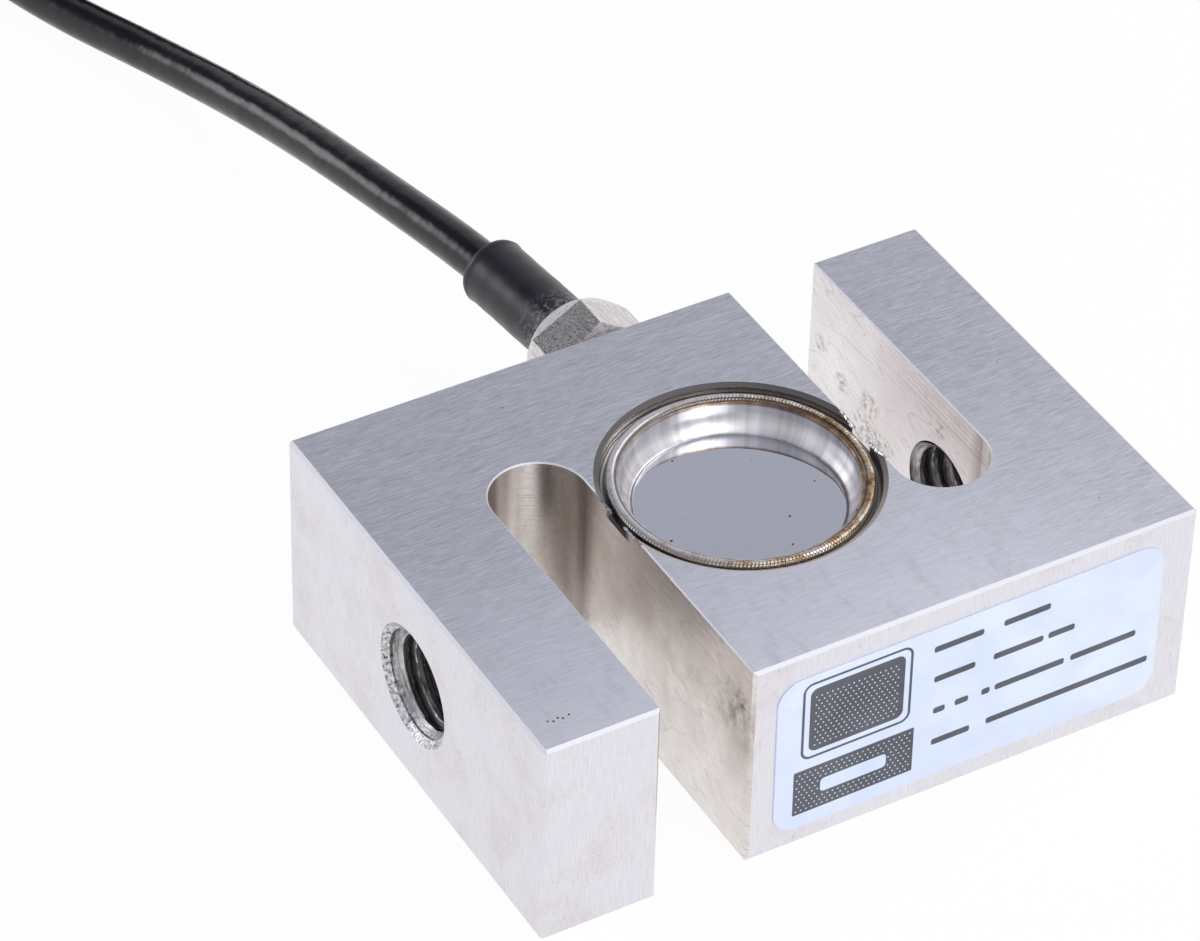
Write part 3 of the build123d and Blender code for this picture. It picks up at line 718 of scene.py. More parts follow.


# Stainless bar stock. Broad faces ground along the bar: short fine streaks, blue-grey, with a painted
# highlight at the front. Sides milled and
# lightly blasted: pale, even, faint upright mottle. Slots end-milled: warm, smoother, with tool lines,
# stains, and painted light and shade.
# Weld groove: rough, with painted light and shade by its direction round the ring. Edges painted pale as
# highlights.
steel = {
    # a normal's upright part on a flat broad face, and on an upright wall
    "flat": 0.9, "upright": 0.4,
    # half the box that holds the slots, in metres
    "slotBox": (0.0252, 0.02689),
    # the palest top colour is a painted highlight on the front of the broad faces
    "topDark": "#a3a3aa", "topLight": "#e2e2ea", "topHighlight": "#f6f6fe", "topRubbed": "#9c9ca3",
    "topRoughness": 0.36, "streak": (1.8, 0.065, 1.0), "coarseStreak": (16.0, 1.2, 5.0),
    "rub": (1.8, 5.5, 5.0),
    "sideDark": "#e0dde4", "sideLight": "#edebf1", "sideBlotch": "#d5ced0", "sideNick": "#a1958f",
    "sideRoughness": 0.42, "mottle": (0.16, 0.16, 2.6), "blotch": (7.0, 7.0, 7.0), "nick": (0.35, 0.35, 0.5),
    # slotLow, slotHigh and the right slot's pale colour are painted light on the slots' walls
    "slotDark": "#b5a9a2", "slotLight": "#e6dfdb", "slotLow": "#efeaea", "slotHigh": "#f4eeec",
    "slotMilled": "#a59a92", "slotScratch": "#8a7c70", "slotCurve": "#8a7d72", "slotHair": "#7d6f64",
    "slotWorn": "#6f6055", "slotDirt": "#83725f", "rightSlotPaintedLight": "#f7f3f7", "slotRoughness": 0.25,
    "cloud": (6.0, 6.0, 9.0), "toolLine": (40.0, 25.0, 0.2), "scratch": (0.12, 0.9, 0.5),
    # slow patterns whose middle value draws a thin curve: size, offset and the curve's share
    "curves": ((5.0, 21.0, 0.3), (3.4, 33.0, 0.24)),
    "hair": (5.0, 4.0, 0.09), "hairSlope": -0.5, "crumb": (0.9, 0.9, 0.7),
    # where the slot's wall is rubbed through to grey, and how far that reaches
    "worn": (-14.5, -23.8, 17.5), "wornReach": 5.2, "wornGrain": (1.2, 1.4, 2.2),
    # dirt in the corners: place and reach
    "smudges": (
        (25.0, 14.3, 14.4, 2.2), (25.0, 15.4, 10.6, 2.8), (25.0, 12.6, 10.4, 2.6), (25.0, 10.6, 11.0, 2.0),
        (25.0, 24.2, 16.0, 1.6), (25.0, 19.8, 13.6, 1.6), (-14.5, -24.4, 20.1, 1.7), (25.0, 0.9, 20.8, 1.3),
    ),
    # centre of the left slot's closed end, and the painted shade and highlight by the angle about it, as a
    # share of half a turn
    "arc": (-19.75, 6.85), "arcPaintedShade": "#80756d", "arcPaintedHighlight": "#fbf6f3",
    "arcShade": (
        (0.0, 0.75), (0.08, 0.7), (0.2, 0.42), (0.34, 0.22), (0.46, 0.16), (0.51, 0.0), (0.61, 0.0),
        (0.67, 0.6), (0.82, 0.75), (1.0, 0.4),
    ),
    "arcShine": ((0.47, 0.0), (0.52, 1.0), (0.60, 1.0), (0.66, 0.0)),
    # the edges' colours are painted highlights: pale chamfers, paler still where they face left
    "edge": "#dcdce0", "leftEdgePaintedHighlight": "#e3e3e7",
    # from the groove's front to its back: painted light and shade by direction round the ring, for the groove
    # and then its bevel
    "grooveFacing": (0.35, 0.94, 0), "grooveRing": "#4f4a47", "ringScale": 4600.0,
    "groove": ((0.06, "#e0d8ce"), (0.26, "#7c7a7b"), (0.45, "#7c7a7b"), (0.85, "#ebe7e3")),
    "bevel": ("#c4b9ae", "#6d6b6a"),
    # bands of radius, height or distance from the middle height, in metres: from, to and how far they fade
    "grooveBand": (0.0138, 0.01462, 0.0001), "grooveDepth": (0.0112, 0.01255, 0.00002),
    "bevelBand": (0.01462, 0.0151, 0.0001), "millBand": (0.0205, 0.0252, 0.0032),
}
steelMaterial, tree, shader = newMaterial("groundStainlessSteel", Metallic=1.0)
at = whereabouts(tree)
normal = addNode(tree, "SeparateXYZ", {0: addNode(tree, "NewGeometry").outputs["Normal"]})
absZ = addNode(tree, "Math", {0: normal.outputs["Z"]}, operation="ABSOLUTE")
absY = addNode(tree, "Math", {0: at.y}, operation="ABSOLUTE")
upness = addNode(tree, "Math", {0: absZ, 1: steel["flat"]}, operation="GREATER_THAN")
edgeness = product(
    tree, addNode(tree, "Math", {0: absZ, 1: steel["upright"]}, operation="GREATER_THAN"),
    addNode(tree, "Math", {0: absZ, 1: steel["flat"]}, operation="LESS_THAN"))
inSlot = product(tree, *[
    addNode(tree, "Math", {0: value, 1: limit}, operation="LESS_THAN")
    for value, limit in zip((at.absX, absY, absZ), (*steel["slotBox"], steel["upright"]))])
rightSide = addNode(tree, "Math", {0: at.x, 1: 0.0}, operation="GREATER_THAN")
inGroove = product(
    tree, band(tree, at.radius, *steel["grooveBand"]), band(tree, at.fromMiddle, *steel["grooveDepth"]))
onBevel = product(tree, band(tree, at.radius, *steel["bevelBand"]), edgeness)
streaks = stretched(tree, at.place, *steel["streak"], 4.0, 0.7)
coarse = stretched(tree, at.place, *steel["coarseStreak"])
mottle = stretched(tree, at.place, *steel["mottle"], 5.0, 0.7)
clouds = stretched(tree, at.place, *steel["cloud"], 5.0)
toolLines = stretched(tree, at.place, *steel["toolLine"], 3.0, 0.75)
# painted highlight: the front of the broad face is painted paler, as the light falls there, less so to the
# right; a rag rubbed oil along it in patches
frontHighlight = product(
    tree,
    addNode(tree, "MapRange", {"Value": at.y, **span(-0.027, 0.006, 0.6, 0.0)}),
    addNode(tree, "MapRange", {"Value": at.x, **span(0.012, 0.034, 1.0, 0.2)}))
topTone = coated(
    tree, steel["topDark"],
    (streaks, (0.33, 0.0), (0.67, 1.0), steel["topLight"]),
    (coarse, (0.35, 0.0), (0.75, 0.22), steel["topLight"]),
    (frontHighlight, steel["topHighlight"]))
rubMarks = stretched(tree, at.place, *steel["rub"], 4.0, 0.65, offset=17.0)
topTone = coated(tree, topTone, (rubMarks, (0.52, 0.0), (0.7, 0.36), steel["topRubbed"]), where=frontHighlight)
blotches = stretched(tree, at.place, *steel["blotch"], 4.0, offset=9.0)
sideTone = coated(
    tree, steel["sideDark"],
    (mottle, (0.35, 0.0), (0.65, 1.0), steel["sideLight"]),
    (blotches, (0.48, 0.0), (0.7, 0.4), steel["sideBlotch"]))
# tiny nicks from handling, patchy
nicks = stretched(tree, at.place, *steel["nick"], 4.0, 0.75, offset=13.0)
nickPatches = addNode(tree, "ValToRGB", {"Fac": blotches}, stops=((0.42, 0.1), (0.6, 1.0)))
sideTone = coated(tree, sideTone, (nicks, (0.57, 0.0), (0.69, 0.45), steel["sideNick"]), where=nickPatches)
# painted light: the right slot's walls are painted paler, and the slots' walls paler low down and, in the
# left slot, high up, where they catch more light
lowness = addNode(tree, "MapRange", {"Value": at.z, **span(0.004, 0.022, 0.6, 0.0)})
highness = product(
    tree, addNode(tree, "MapRange", {"Value": at.z, **span(0.016, 0.0252, 0.0, 0.75)}),
    addNode(tree, "Math", {0: 1.0, 1: rightSide}, operation="SUBTRACT"))
slotTone = coated(
    tree, steel["slotDark"],
    (clouds, (0.32, 0.0), (0.68, 1.0), steel["slotLight"]),
    (product(tree, rightSide, 0.7), steel["rightSlotPaintedLight"]),
    (lowness, steel["slotLow"]),
    (highness, steel["slotHigh"]))
# lines that the end mill left, strongest near the upper edge of the right slot
millBand = product(
    tree, band(tree, at.z, *steel["millBand"]),
    addNode(tree, "MapRange", {"Value": rightSide, **span(0.0, 1.0, 0.45, 1.0)}),
    addNode(tree, "MapRange", {"Value": at.y, **span(-0.006, 0.016, 0.8, 0.2)}))
slotTone = coated(tree, slotTone, (toolLines, (0.42, 0.0), (0.6, 0.6), steel["slotMilled"]), where=millBand)
scratches = stretched(tree, at.place, *steel["scratch"], 4.0, 0.7, offset=5.0)
slotTone = coated(tree, slotTone, (scratches, (0.62, 0.0), (0.72, 0.4), steel["slotScratch"]))
for size, offset, share in steel["curves"]:
    slow = stretched(tree, at.place, size, size * 2.6, size * 0.7, 0.6, 0.5, offset)
    slotTone = coated(tree, slotTone, (slow, (0.49, 0.0), (0.496, share), (0.502, 0.0), steel["slotCurve"]))
tilted = addNode(
    tree, "VectorRotate", {"Vector": at.place, "Angle": steel["hairSlope"]}, rotation_type="X_AXIS")
hairs = stretched(tree, tilted, *steel["hair"], 2.0, offset=3.0)
hairPatches = addNode(tree, "ValToRGB", {"Fac": clouds}, stops=((0.38, 0.3), (0.58, 1.0)))
slotTone = coated(tree, slotTone, (hairs, (0.58, 0.0), (0.66, 0.5), steel["slotHair"]), where=hairPatches)
wornGrain = stretched(tree, at.place, *steel["wornGrain"], 5.0, 0.7)
slotTone = coated(
    tree, slotTone, (wornGrain, (0.38, 0.0), (0.62, 1.0), steel["slotWorn"]),
    where=nearTo(tree, at.place, steel["worn"], steel["wornReach"], 0.8))
smudged = 0.0
for *spot, reach in steel["smudges"]:
    smudged = addNode(tree, "Math", {0: smudged, 1: nearTo(tree, at.place, spot, reach)}, operation="MAXIMUM")
crumbs = stretched(tree, at.place, *steel["crumb"], 5.0, 0.75, offset=2.0)
dirtShare = product(
    tree, addNode(tree, "ValToRGB", {"Fac": smudged}, stops=((0.0, 0.0), (0.5, 1.0))),
    addNode(tree, "ValToRGB", {"Fac": crumbs}, stops=((0.46, 0.0), (0.62, 0.9))))
slotTone = coated(tree, slotTone, (product(tree, dirtShare, 0.62), steel["slotDirt"]))
# painted shade and highlight bands round the closed end of each slot, standing in for its reflections; the
# right slot is the left one turned by half a turn
turned = addNode(tree, "MapRange", {"Value": rightSide, **span(0.0, 1.0, 1.0, -1.0)})
localX, localY = [
    addNode(tree, "Math", {0: product(tree, along, turned), 1: centre * milli}, operation="SUBTRACT")
    for along, centre in zip((at.x, at.y), steel["arc"])]
arcAngle = addNode(tree, "Math", {
    0: addNode(tree, "Math", {0: localY, 1: localX}, operation="ARCTAN2"), 1: math.pi}, operation="DIVIDE")
onArc = addNode(tree, "MapRange", {"Value": localY, **span(-0.0022, 0.0)})
slotTone = coated(
    tree, slotTone, (arcAngle, *steel["arcShade"], steel["arcPaintedShade"]), where=product(tree, onArc, 0.8))
slotTone = coated(tree, slotTone, (arcAngle, *steel["arcShine"], steel["arcPaintedHighlight"]), where=onArc)
# painted highlight: edges that face left are painted paler
leftness = addNode(tree, "MapRange", {"Value": normal.outputs["X"], **span(-0.6, -0.3, 1.0, 0.0)})
# the groove and its bevel painted lighter or darker by direction, as painted light and shade, with the lines
# that the grooving tool turned
grooveSide = addNode(
    tree, "VectorMath", {0: at.direction, 1: steel["grooveFacing"]}, operation="DOT_PRODUCT").outputs["Value"]
grooveShare = addNode(tree, "MapRange", {"Value": grooveSide, **span(-1.0, 1.0)})
grooveTone = addNode(tree, "ValToRGB", {"Fac": grooveShare}, stops=steel["groove"])
ringPlace = addNode(tree, "CombineXYZ", {"X": at.radius, "Y": at.fromMiddle})
rings = addNode(tree, "TexNoise", {"Vector": ringPlace, "Scale": steel["ringScale"], "Detail": 2.0})
grooveTone = coated(tree, grooveTone, (rings, (0.46, 0.0), (0.56, 0.9), steel["grooveRing"]))
bevelBack = addNode(tree, "MapRange", {"Value": grooveSide, **span(-0.7, 0.1)})
relief = coated(
    tree, product(tree, mottle, 0.45), (upness, streaks), (product(tree, inSlot, millBand), toolLines))
connect(tree, shader, {
    "Base Color": coated(
        tree, sideTone, (upness, topTone), (inSlot, slotTone),
        (edgeness, coated(tree, steel["edge"], (leftness, steel["leftEdgePaintedHighlight"]))),
        (inGroove, grooveTone),
        (onBevel, coated(tree, steel["bevel"][0], (bevelBack, steel["bevel"][1])))),
    "Roughness": summed(
        tree, steel["sideRoughness"],
        (upness, steel["topRoughness"] - steel["sideRoughness"]),
        (inSlot, steel["slotRoughness"] - steel["sideRoughness"]),
        (dirtShare, 0.25), (edgeness, 0.22), (streaks, 0.06)),
    "Normal": addNode(tree, "Bump", {"Height": relief, "Strength": 0.16, "Distance": 0.00006}),
})
dress(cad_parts["spring_element"], steelMaterial)

# Torn edges of the same steel: bright where fresh metal shows.
burrMaterial = speckled("tornStainlessEdge", "#8b8884", "#e8e8ea", 2500.0, Metallic=1.0, Roughness=0.3)
for piece in burrPieces:
    dress(piece, burrMaterial)

# Specks of scale and shop dirt: brown-black, dull.
speckMaterial = speckled("weldScaleSpecks", "#221c18", "#4e4036", 1800.0, Roughness=0.7)
for piece in (spatterPiece, dirtPiece):
    dress(piece, speckMaterial)

# Cut thread: chattered bright mouth, patchy oil, and painted shade darkening the roots further in.
threadMaterial, tree, shader = newMaterial("cutThreadSteel", Metallic=1.0)
at = whereabouts(tree)
acrossBore = addNode(tree, "CombineXYZ", {"Y": at.y, "Z": at.above})
boreRadius = addNode(tree, "VectorMath", {0: acrossBore}, operation="LENGTH").outputs["Value"]
oil = addNode(tree, "TexNoise", {"Vector": at.place, "Scale": 900.0, "Detail": 4.0})
chips = addNode(tree, "TexNoise", {"Vector": at.place, "Scale": 2400.0, "Detail": 5.0, "Roughness": 0.7})
turnLines = stretched(tree, at.place, 0.09, 2.5, 2.5, 3.0, 0.7)
ragged = summed(tree, at.absX, (chips, 0.0012))
mouth = addNode(tree, "MapRange", {"Value": ragged, **span(0.03755, 0.03805)})
# painted shade: the roots, the deepest part of the bore, are painted darker
paintedRootShade = addNode(tree, "MapRange", {"Value": boreRadius, **span(0.0052, 0.0058)})
oiled = addNode(tree, "ValToRGB", {"Fac": oil}, stops=((0.3, "#a6a5a8"), (0.7, "#dbdade")))
chipped = addNode(tree, "ValToRGB", {"Fac": chips}, stops=(
    (0.36, "#4c4a4a"), (0.45, "#a9a8ac"), (0.6, "#e6e5ea")))
connect(tree, shader, {
    "Base Color": coated(
        tree, oiled, (paintedRootShade, "#9a9694"), (turnLines, (0.47, 0.0), (0.6, 0.65), "#3b3836"),
        (mouth, chipped)),
    "Roughness": addNode(tree, "MapRange", {"Value": mouth, **span(0.0, 1.0, 0.36, 0.42)}),
    "Normal": addNode(tree, "Bump", {
        "Height": coated(tree, turnLines, (mouth, chips)), "Strength": 0.4, "Distance": 0.0001}),
})
for piece in threadPieces:
    dress(piece, threadMaterial)

# Stainless sheet, deep drawn and bright annealed: mirror floor, satin drawn-out walls, and a dark line of
# painted shade in the crease at the wall's foot.
sheet = {
    "floor": "#d3d4da", "wallDark": "#c9c6c6", "wallLight": "#eceaec", "footShade": "#5a5654",
    "rimTints": ((0.4, "#5a3f2c"), (0.62, "#9a7350")), "rimFacing": (0.75, 0.3, 0),
    "wallFrom": (0.01098, 0.0111), "rimFrom": (0.0116, 0.01195), "footShadeLine": (0.01103, 0.01122, 0.00006),
    "roughness": (0.012, 0.41),  # of the floor and the wall
}
cupMaterial, tree, shader = newMaterial("brightAnnealedStainlessSheet", Metallic=1.0)
at = whereabouts(tree)
around = addNode(tree, "TexNoise", {"Vector": at.direction, "Scale": 9.0, "Detail": 5.0})
waves = addNode(tree, "TexNoise", {"Vector": at.place, "Scale": 200.0, "Detail": 2.0})
wallMask, rimMask = [
    addNode(tree, "MapRange", {"Value": value, **span(start, end)})
    for value, (start, end) in ((at.radius, sheet["wallFrom"]), (at.fromMiddle, sheet["rimFrom"]))]
wallTone = coated(tree, sheet["wallDark"], (around, (0.35, 0.0), (0.65, 1.0), sheet["wallLight"]))
# painted shade: a dark line in the crease where the floor's step meets the wall
footShadeLine = band(tree, at.radius, *sheet["footShadeLine"])
rimFacing = addNode(
    tree, "VectorMath", {0: at.direction, 1: sheet["rimFacing"]}, operation="DOT_PRODUCT").outputs["Value"]
rimShare = addNode(tree, "MapRange", {"Value": rimFacing, **span(-0.6, 0.5, 0.15, 0.9)})
rimTone = addNode(tree, "ValToRGB", {"Fac": around}, stops=sheet["rimTints"])
connect(tree, shader, {
    "Base Color": coated(
        tree, sheet["floor"], (wallMask, wallTone), (product(tree, footShadeLine, 0.6), sheet["footShade"]),
        (product(tree, rimMask, rimShare), rimTone)),
    "Roughness": addNode(tree, "MapRange", {"Value": wallMask, **span(0.0, 1.0, *sheet["roughness"])}),
    "Normal": addNode(tree, "Bump", {"Height": waves, "Strength": 0.03, "Distance": 0.0002}),
})
for piece in cupPieces:
    dress(piece, cupMaterial)

# Weld bead: silver on the side welded first, tinted straw to brown by the heat that built up after it.
weld = {
    "tintFacing": (0.75, -0.66, 0), "soot": "#5b4a3b", "innerEdge": "#3b2a1e", "outerEdge": "#6a6058",
    "tints": ((0.38, "#dad8d8"), (0.50, "#cfc5b8"), (0.60, "#b39d84"), (0.68, "#896a4c"), (0.80, "#4f3a2b")),
    "innerLine": (0.0126, 0.01298, 0.00008), "outerLine": (0.01372, 0.0139, 0.00006),
}
seamMaterial, tree, shader = newMaterial("heatTintedWeld", Metallic=1.0)
at = whereabouts(tree)
tintFacing = addNode(
    tree, "VectorMath", {0: at.direction, 1: weld["tintFacing"]}, operation="DOT_PRODUCT").outputs["Value"]
patches = addNode(tree, "TexNoise", {"Vector": at.place, "Scale": 420.0, "Detail": 6.0, "Roughness": 0.75})
soot = addNode(tree, "TexNoise", {"Vector": at.place, "Scale": 1200.0, "Detail": 4.0})
tint = addNode(tree, "MapRange", {"Value": tintFacing, **span(-0.9, 0.9, -0.20, 0.14)})
heated = addNode(tree, "ValToRGB", {"Fac": summed(tree, tint, (patches, 1.0))}, stops=weld["tints"])
innerLine = band(tree, at.radius, *weld["innerLine"])
outerLine = band(tree, at.radius, *weld["outerLine"])
connect(tree, shader, {
    "Base Color": coated(
        tree, heated, (product(tree, innerLine, 0.75), weld["innerEdge"]),
        (product(tree, outerLine, 0.6), weld["outerEdge"]), (soot, (0.55, 0.0), (0.75, 0.5), weld["soot"])),
    "Roughness": addNode(tree, "MapRange", {"Value": soot, **span(0.0, 1.0, 0.2, 0.45)}),
    "Normal": addNode(tree, "Bump", {"Height": soot, "Strength": 0.2, "Distance": 0.00006}),
})
for piece in seamPieces:
    dress(piece, seamMaterial)

# Nickel-plated brass, turned and milled: warm silver, pitted flats with fine tool marks, and a painted
# highlight on the nut's chamfered end.
nickelMaterial, tree, shader = newMaterial("nickelPlatedBrass", Metallic=1.0)
at = whereabouts(tree)
pits = addNode(tree, "TexNoise", {"Vector": at.place, "Scale": 5000.0, "Detail": 4.0, "Roughness": 0.7})
toolMarks = stretched(tree, at.place, 0.5, 2.4, 0.5, 4.0)
# painted highlight: the nut's chamfered end is painted paler, as the bright ring it catches
nutChamferHighlight = band(tree, at.y, 0.03955, 0.0412, 0.00004)
platingRough = addNode(tree, "MapRange", {"Value": pits, **span(0.35, 0.65, 0.19, 0.42)})
connect(tree, shader, {
    "Base Color": coated(
        tree, "#c0bbb8", (toolMarks, (0.3, 0.0), (0.7, 1.0), "#ebe8e7"), (nutChamferHighlight, "#e8e5e5"),
        (pits, (0.37, 0.5), (0.46, 0.0), "#6c6865")),
    "Roughness": summed(tree, platingRough, (nutChamferHighlight, 0.28)),
    "Normal": addNode(tree, "Bump", {"Height": pits, "Strength": 0.35, "Distance": 0.00006}),
})
for name in ("gland_body", "gland_nut", "gland_washer"):
    dress(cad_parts[name], nickelMaterial)
for lead, tip, color in leadPieces:
    dress(tip, nickelMaterial)

# Extruded PVC jacket: half-gloss black, a little lumpy over the cores, with faint handling scuffs.
jacketMaterial, tree, shader = newMaterial("extrudedPvcJacket", IOR=1.5)
place = addNode(tree, "TexCoord").outputs["Object"]
lumps = addNode(tree, "TexNoise", {"Vector": place, "Scale": 150.0, "Detail": 3.0})
scuffs = addNode(tree, "TexNoise", {"Vector": place, "Scale": 700.0, "Detail": 6.0, "Roughness": 0.75})
connect(tree, shader, {
    "Base Color": coated(
        tree, "#0c0c10", (lumps, (0.3, 0.0), (0.7, 1.0), "#16161b"),
        (scuffs, (0.66, 0.0), (0.8, 0.5), "#34343a")),
    "Roughness": addNode(tree, "MapRange", {"Value": scuffs, **span(0.0, 1.0, 0.14, 0.28)}),
    "Normal": addNode(tree, "Bump", {"Height": lumps, "Strength": 0.5, "Distance": 0.0007}),
})
dress(cableCord, jacketMaterial)

# Heat-shrunk polyolefin sleeve: matte black, pale rubs where it was pushed against the nut, made paler as a
# painted reflection of the floor.
sleeveMaterial, tree, shader = newMaterial("shrunkPolyolefinSleeve", IOR=1.5)
at = whereabouts(tree)
rubs = addNode(tree, "TexNoise", {"Vector": at.place, "Scale": 420.0, "Detail": 6.0, "Roughness": 0.7})
grain = addNode(tree, "TexNoise", {"Vector": at.place, "Scale": 2200.0, "Detail": 3.0})
# pale grain near the nut: partly real rubs, partly a painted reflection
rubsAndSheenNearNut = addNode(tree, "MapRange", {"Value": at.y, **span(0.0405, 0.0465, 1.0, 0.0)})
rubTone = coated(tree, "#131319", (rubs, (0.35, 0.0), (0.75, 1.0), "#20202a"))
connect(tree, shader, {
    "Base Color": coated(tree, rubTone, (grain, (0.46, 0.0), (0.64, 1.0), "#8a8a90"), where=rubsAndSheenNearNut),
    "Roughness": addNode(tree, "MapRange", {"Value": rubs, **span(0.0, 1.0, 0.27, 0.42)}),
    "Normal": addNode(tree, "Bump", {"Height": grain, "Strength": 0.2, "Distance": 0.00005}),
})
dress(sleevePiece, sleeveMaterial)
dress(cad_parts["end_cuff"], sleeveMaterial)

# Moulded nylon ties: black, half gloss, with the strap's fine cross teeth.
tieMaterial, tree, shader = newMaterial("mouldedNylonTie", Roughness=0.38, IOR=1.53)
place = addNode(tree, "TexCoord").outputs["Object"]
teeth = addNode(tree, "TexWave", {"Vector": place, "Scale": 180.0, "Distortion": 0.0}, bands_direction="Z")
wear = addNode(tree, "TexNoise", {"Vector": place, "Scale": 600.0, "Detail": 4.0})
connect(tree, shader, {
    "Base Color": addNode(tree, "ValToRGB", {"Fac": wear}, stops=((0.35, "#101012"), (0.7, "#232327"))),
    "Normal": addNode(tree, "Bump", {"Height": teeth, "Strength": 0.3, "Distance": 0.0002}),
})
for name in ("coil_tie_1", "coil_tie_2"):
    dress(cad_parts[name], tieMaterial)

# Moulded nitrile rubber: dull, slightly bloomed black.
rubberMaterial = speckled(
    "mouldedNitrileRubber", "#19191a", "#2c2c2e", 800.0, 5.0, (0.4, 0.7), (0.15, 0.00005),
    Roughness=0.65, IOR=1.52)
for name in ("gland_gasket", "gland_grommet"):
    dress(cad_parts[name], rubberMaterial)

# Plain coloured plastics and small electrical parts: one recipe, each with its own colours and finish.
resistors = ("span_resistor_left", "span_resistor_right", "zero_trim_resistor", "temperature_resistor")
plainFinishes = {
    "redPvcInsulation": ("#b3201c", "#c23530", 0.42, ("inner_core_red",)),
    "blackPvcInsulation": ("#141414", "#202022", 0.42, ("inner_core_black",)),
    "greenPvcInsulation": ("#1d7a3c", "#2c8f4c", 0.42, ("inner_core_green",)),
    "whitePvcInsulation": ("#dcdcd8", "#ececea", 0.42, ("inner_core_white",)),
    "glassEpoxyBoard": ("#1f5e3a", "#2a7448", 0.4, ("compensation_board",)),
    "polyimideFoil": ("#b4752a", "#c78a3c", 0.3, ("upper_shear_gauge", "lower_shear_gauge")),
    "phenolicTerminalStrip": ("#8c6a3a", "#a07c48", 0.5, ("upper_terminals", "lower_terminals")),
    "lacqueredWireBundle": ("#b9b29e", "#cbc5b2", 0.5, ("upper_wires", "lower_wires")),
    "thickFilmChip": ("#1a1a1c", "#2a2a2c", 0.4, resistors),
    "rolledCopperRibbon": ("#b87452", "#cf8f68", 0.3, ("upper_jumper", "lower_jumper")),
}
plainMaterials = {}
for name, (dark, light, roughness, nodes) in plainFinishes.items():
    metal = 1.0 if "Copper" in name else 0.0
    plainMaterials[name] = speckled(
        name, dark, light, 1500.0, bump=(0.1, 0.00003), Roughness=roughness, Metallic=metal)
    for node in nodes:
        dress(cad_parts[node], plainMaterials[name])
for lead, tip, color in leadPieces:
    dress(lead, plainMaterials[color + "PvcInsulation"])

# Polyester film, thermal-printed in one dark grey: pale cool blue, faintly glossy, a little uneven where
# air stayed under it.
filmFinishes = {
    "filmLabelStock": ("#cfd9f3", "#d9e2fa", (labelFilm,)),
    "filmShowingThrough": ("#ccd8ee", "#d6e0f6", (labelDots,)),
    "darkGreyTransferInk": ("#44464c", "#55575e", (labelInk, labelLine)),
}
for name, (dark, light, pieces) in filmFinishes.items():
    film = speckled(name, dark, light, 160.0, 4.0, bump=(0.25, 0.0002), Roughness=0.38, IOR=1.5)
    for piece in pieces:
        dress(piece, film)
print("stage: materials")

# Floor, world and lamps
studio = {
    "horizon": "#ffffff", "sky": "#c2c4cf", "zenith": "#9a9da8", "worldStrength": 1.0,
    "floor": "#f6f6f6", "floorHalf": 3.0, "floorHeight": -0.00002, "shown": 0.96,
    "gap": (-0.36, 0.66, 0.66), "gapDepth": 0.25,
    "glow": (-0.62, 0.73, 0.28), "glowStrength": (4.0, 4.0, 4.2, 1),
}
half = studio["floorHalf"]
floorMesh = bpy.data.meshes.new("floor")
floorMesh.from_pydata(
    [(-half, -half, 0), (half, -half, 0), (half, half, 0), (-half, half, 0)], [], [(0, 1, 2, 3)])
floorObject = bpy.data.objects.new("floor", floorMesh)
floorObject.location.z = studio["floorHeight"]
bpy.context.scene.collection.objects.link(floorObject)
# The sweep shows white to the camera and in the metal, and keeps part of the lit paper so that shadows stay.
floorMaterial, tree, shader = newMaterial("paperSweep", Roughness=0.9)
connect(tree, shader, {"Base Color": studio["floor"]})
rays = addNode(tree, "LightPath").outputs
mirrored = addNode(
    tree, "Math", {0: rays["Is Glossy Ray"], 1: rays["Is Transmission Ray"]}, operation="MAXIMUM")
seen = addNode(tree, "Math", {0: rays["Is Camera Ray"], 1: mirrored}, operation="MAXIMUM")
glow = addNode(tree, "Emission", {"Color": (1, 1, 1, 1), "Strength": 1.0})
paper = addNode(tree, "MixShader", {0: product(tree, seen, studio["shown"]), 1: shader, 2: glow})
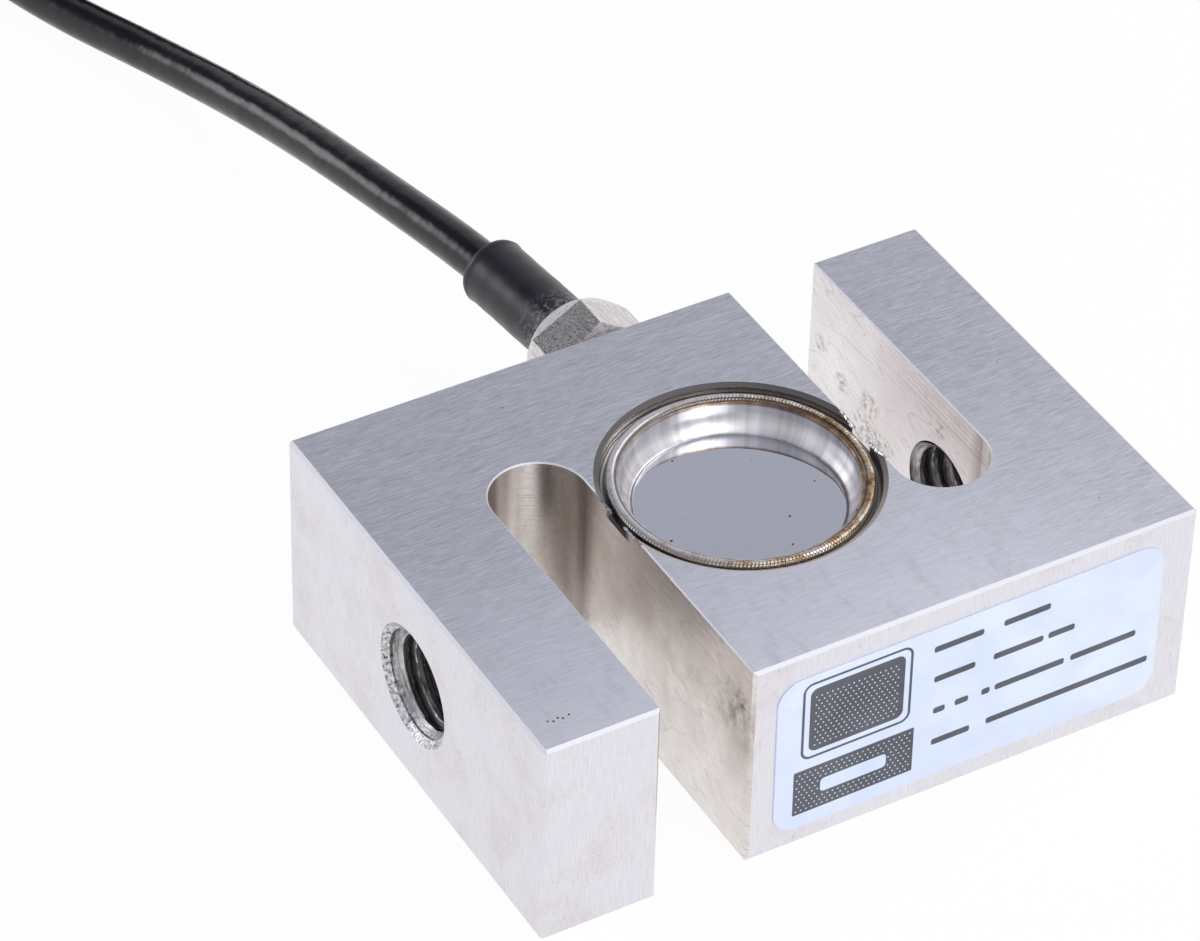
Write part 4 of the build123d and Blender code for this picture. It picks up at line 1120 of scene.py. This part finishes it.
# seen from underneath the sweep is clear, so that the lower face can be looked at
under = addNode(tree, "NewGeometry").outputs["Backfacing"]
sweep = addNode(tree, "MixShader", {0: under, 1: paper, 2: addNode(tree, "BsdfTransparent")})
connect(tree, tree.nodes["Material Output"], {"Surface": sweep})
floorMesh.materials.append(floorMaterial)

world = bpy.data.worlds.new("studio")
bpy.context.scene.world = world
world.use_nodes = True
tree = world.node_tree
tree.nodes.clear()
view = addNode(tree, "TexCoord").outputs["Generated"]
height = addNode(tree, "SeparateXYZ", {0: view}).outputs["Z"]
sky = addNode(tree, "ValToRGB", {"Fac": height}, stops=(
    (0.05, studio["horizon"]), (0.62, studio["sky"]), (0.95, studio["zenith"])))
# an unlit gap between the softboxes, high at the back left, and a feathered light low at the back left, which
# draws the streak along the cable
for towards, start, end, most, light in (
    (studio["gap"], 0.86, 0.96, 1 - studio["gapDepth"], (0, 0, 0, 1)),
    (studio["glow"], 0.955, 0.995, 1.0, studio["glowStrength"]),
):
    facing = addNode(tree, "VectorMath", {0: view, 1: towards}, operation="DOT_PRODUCT").outputs["Value"]
    share = addNode(tree, "MapRange", {"Value": facing, **span(start, end, 0.0, most)})
    sky = coated(tree, sky, (share, light))
rays = addNode(tree, "LightPath").outputs
seen = addNode(tree, "Math", {0: rays["Is Camera Ray"], 1: rays["Is Transmission Ray"]}, operation="MAXIMUM")
background = addNode(tree, "Background", {
    "Color": coated(tree, sky, (seen, (1, 1, 1, 1))), "Strength": studio["worldStrength"]})
addNode(tree, "OutputWorld", {"Surface": background})

lamps = {
    "softboxRight": {"at": (350, 60, 450), "size": 260, "power": 0.75},
    "softboxFront": {"at": (60, -560, 430), "size": 380, "power": 2.1},
}
for name, lamp in lamps.items():
    data = bpy.data.lights.new(name, "AREA")
    data.shape = "DISK"
    data.size = lamp["size"] * milli
    data.energy = lamp["power"]
    light = bpy.data.objects.new(name, data)
    light.location = mm(*lamp["at"])
    light.rotation_euler = (-Vector(lamp["at"])).to_track_quat("-Z", "Y").to_euler()
    bpy.context.scene.collection.objects.link(light)
bpy.context.scene.view_settings.view_transform = "Standard"
print("stage: studio")
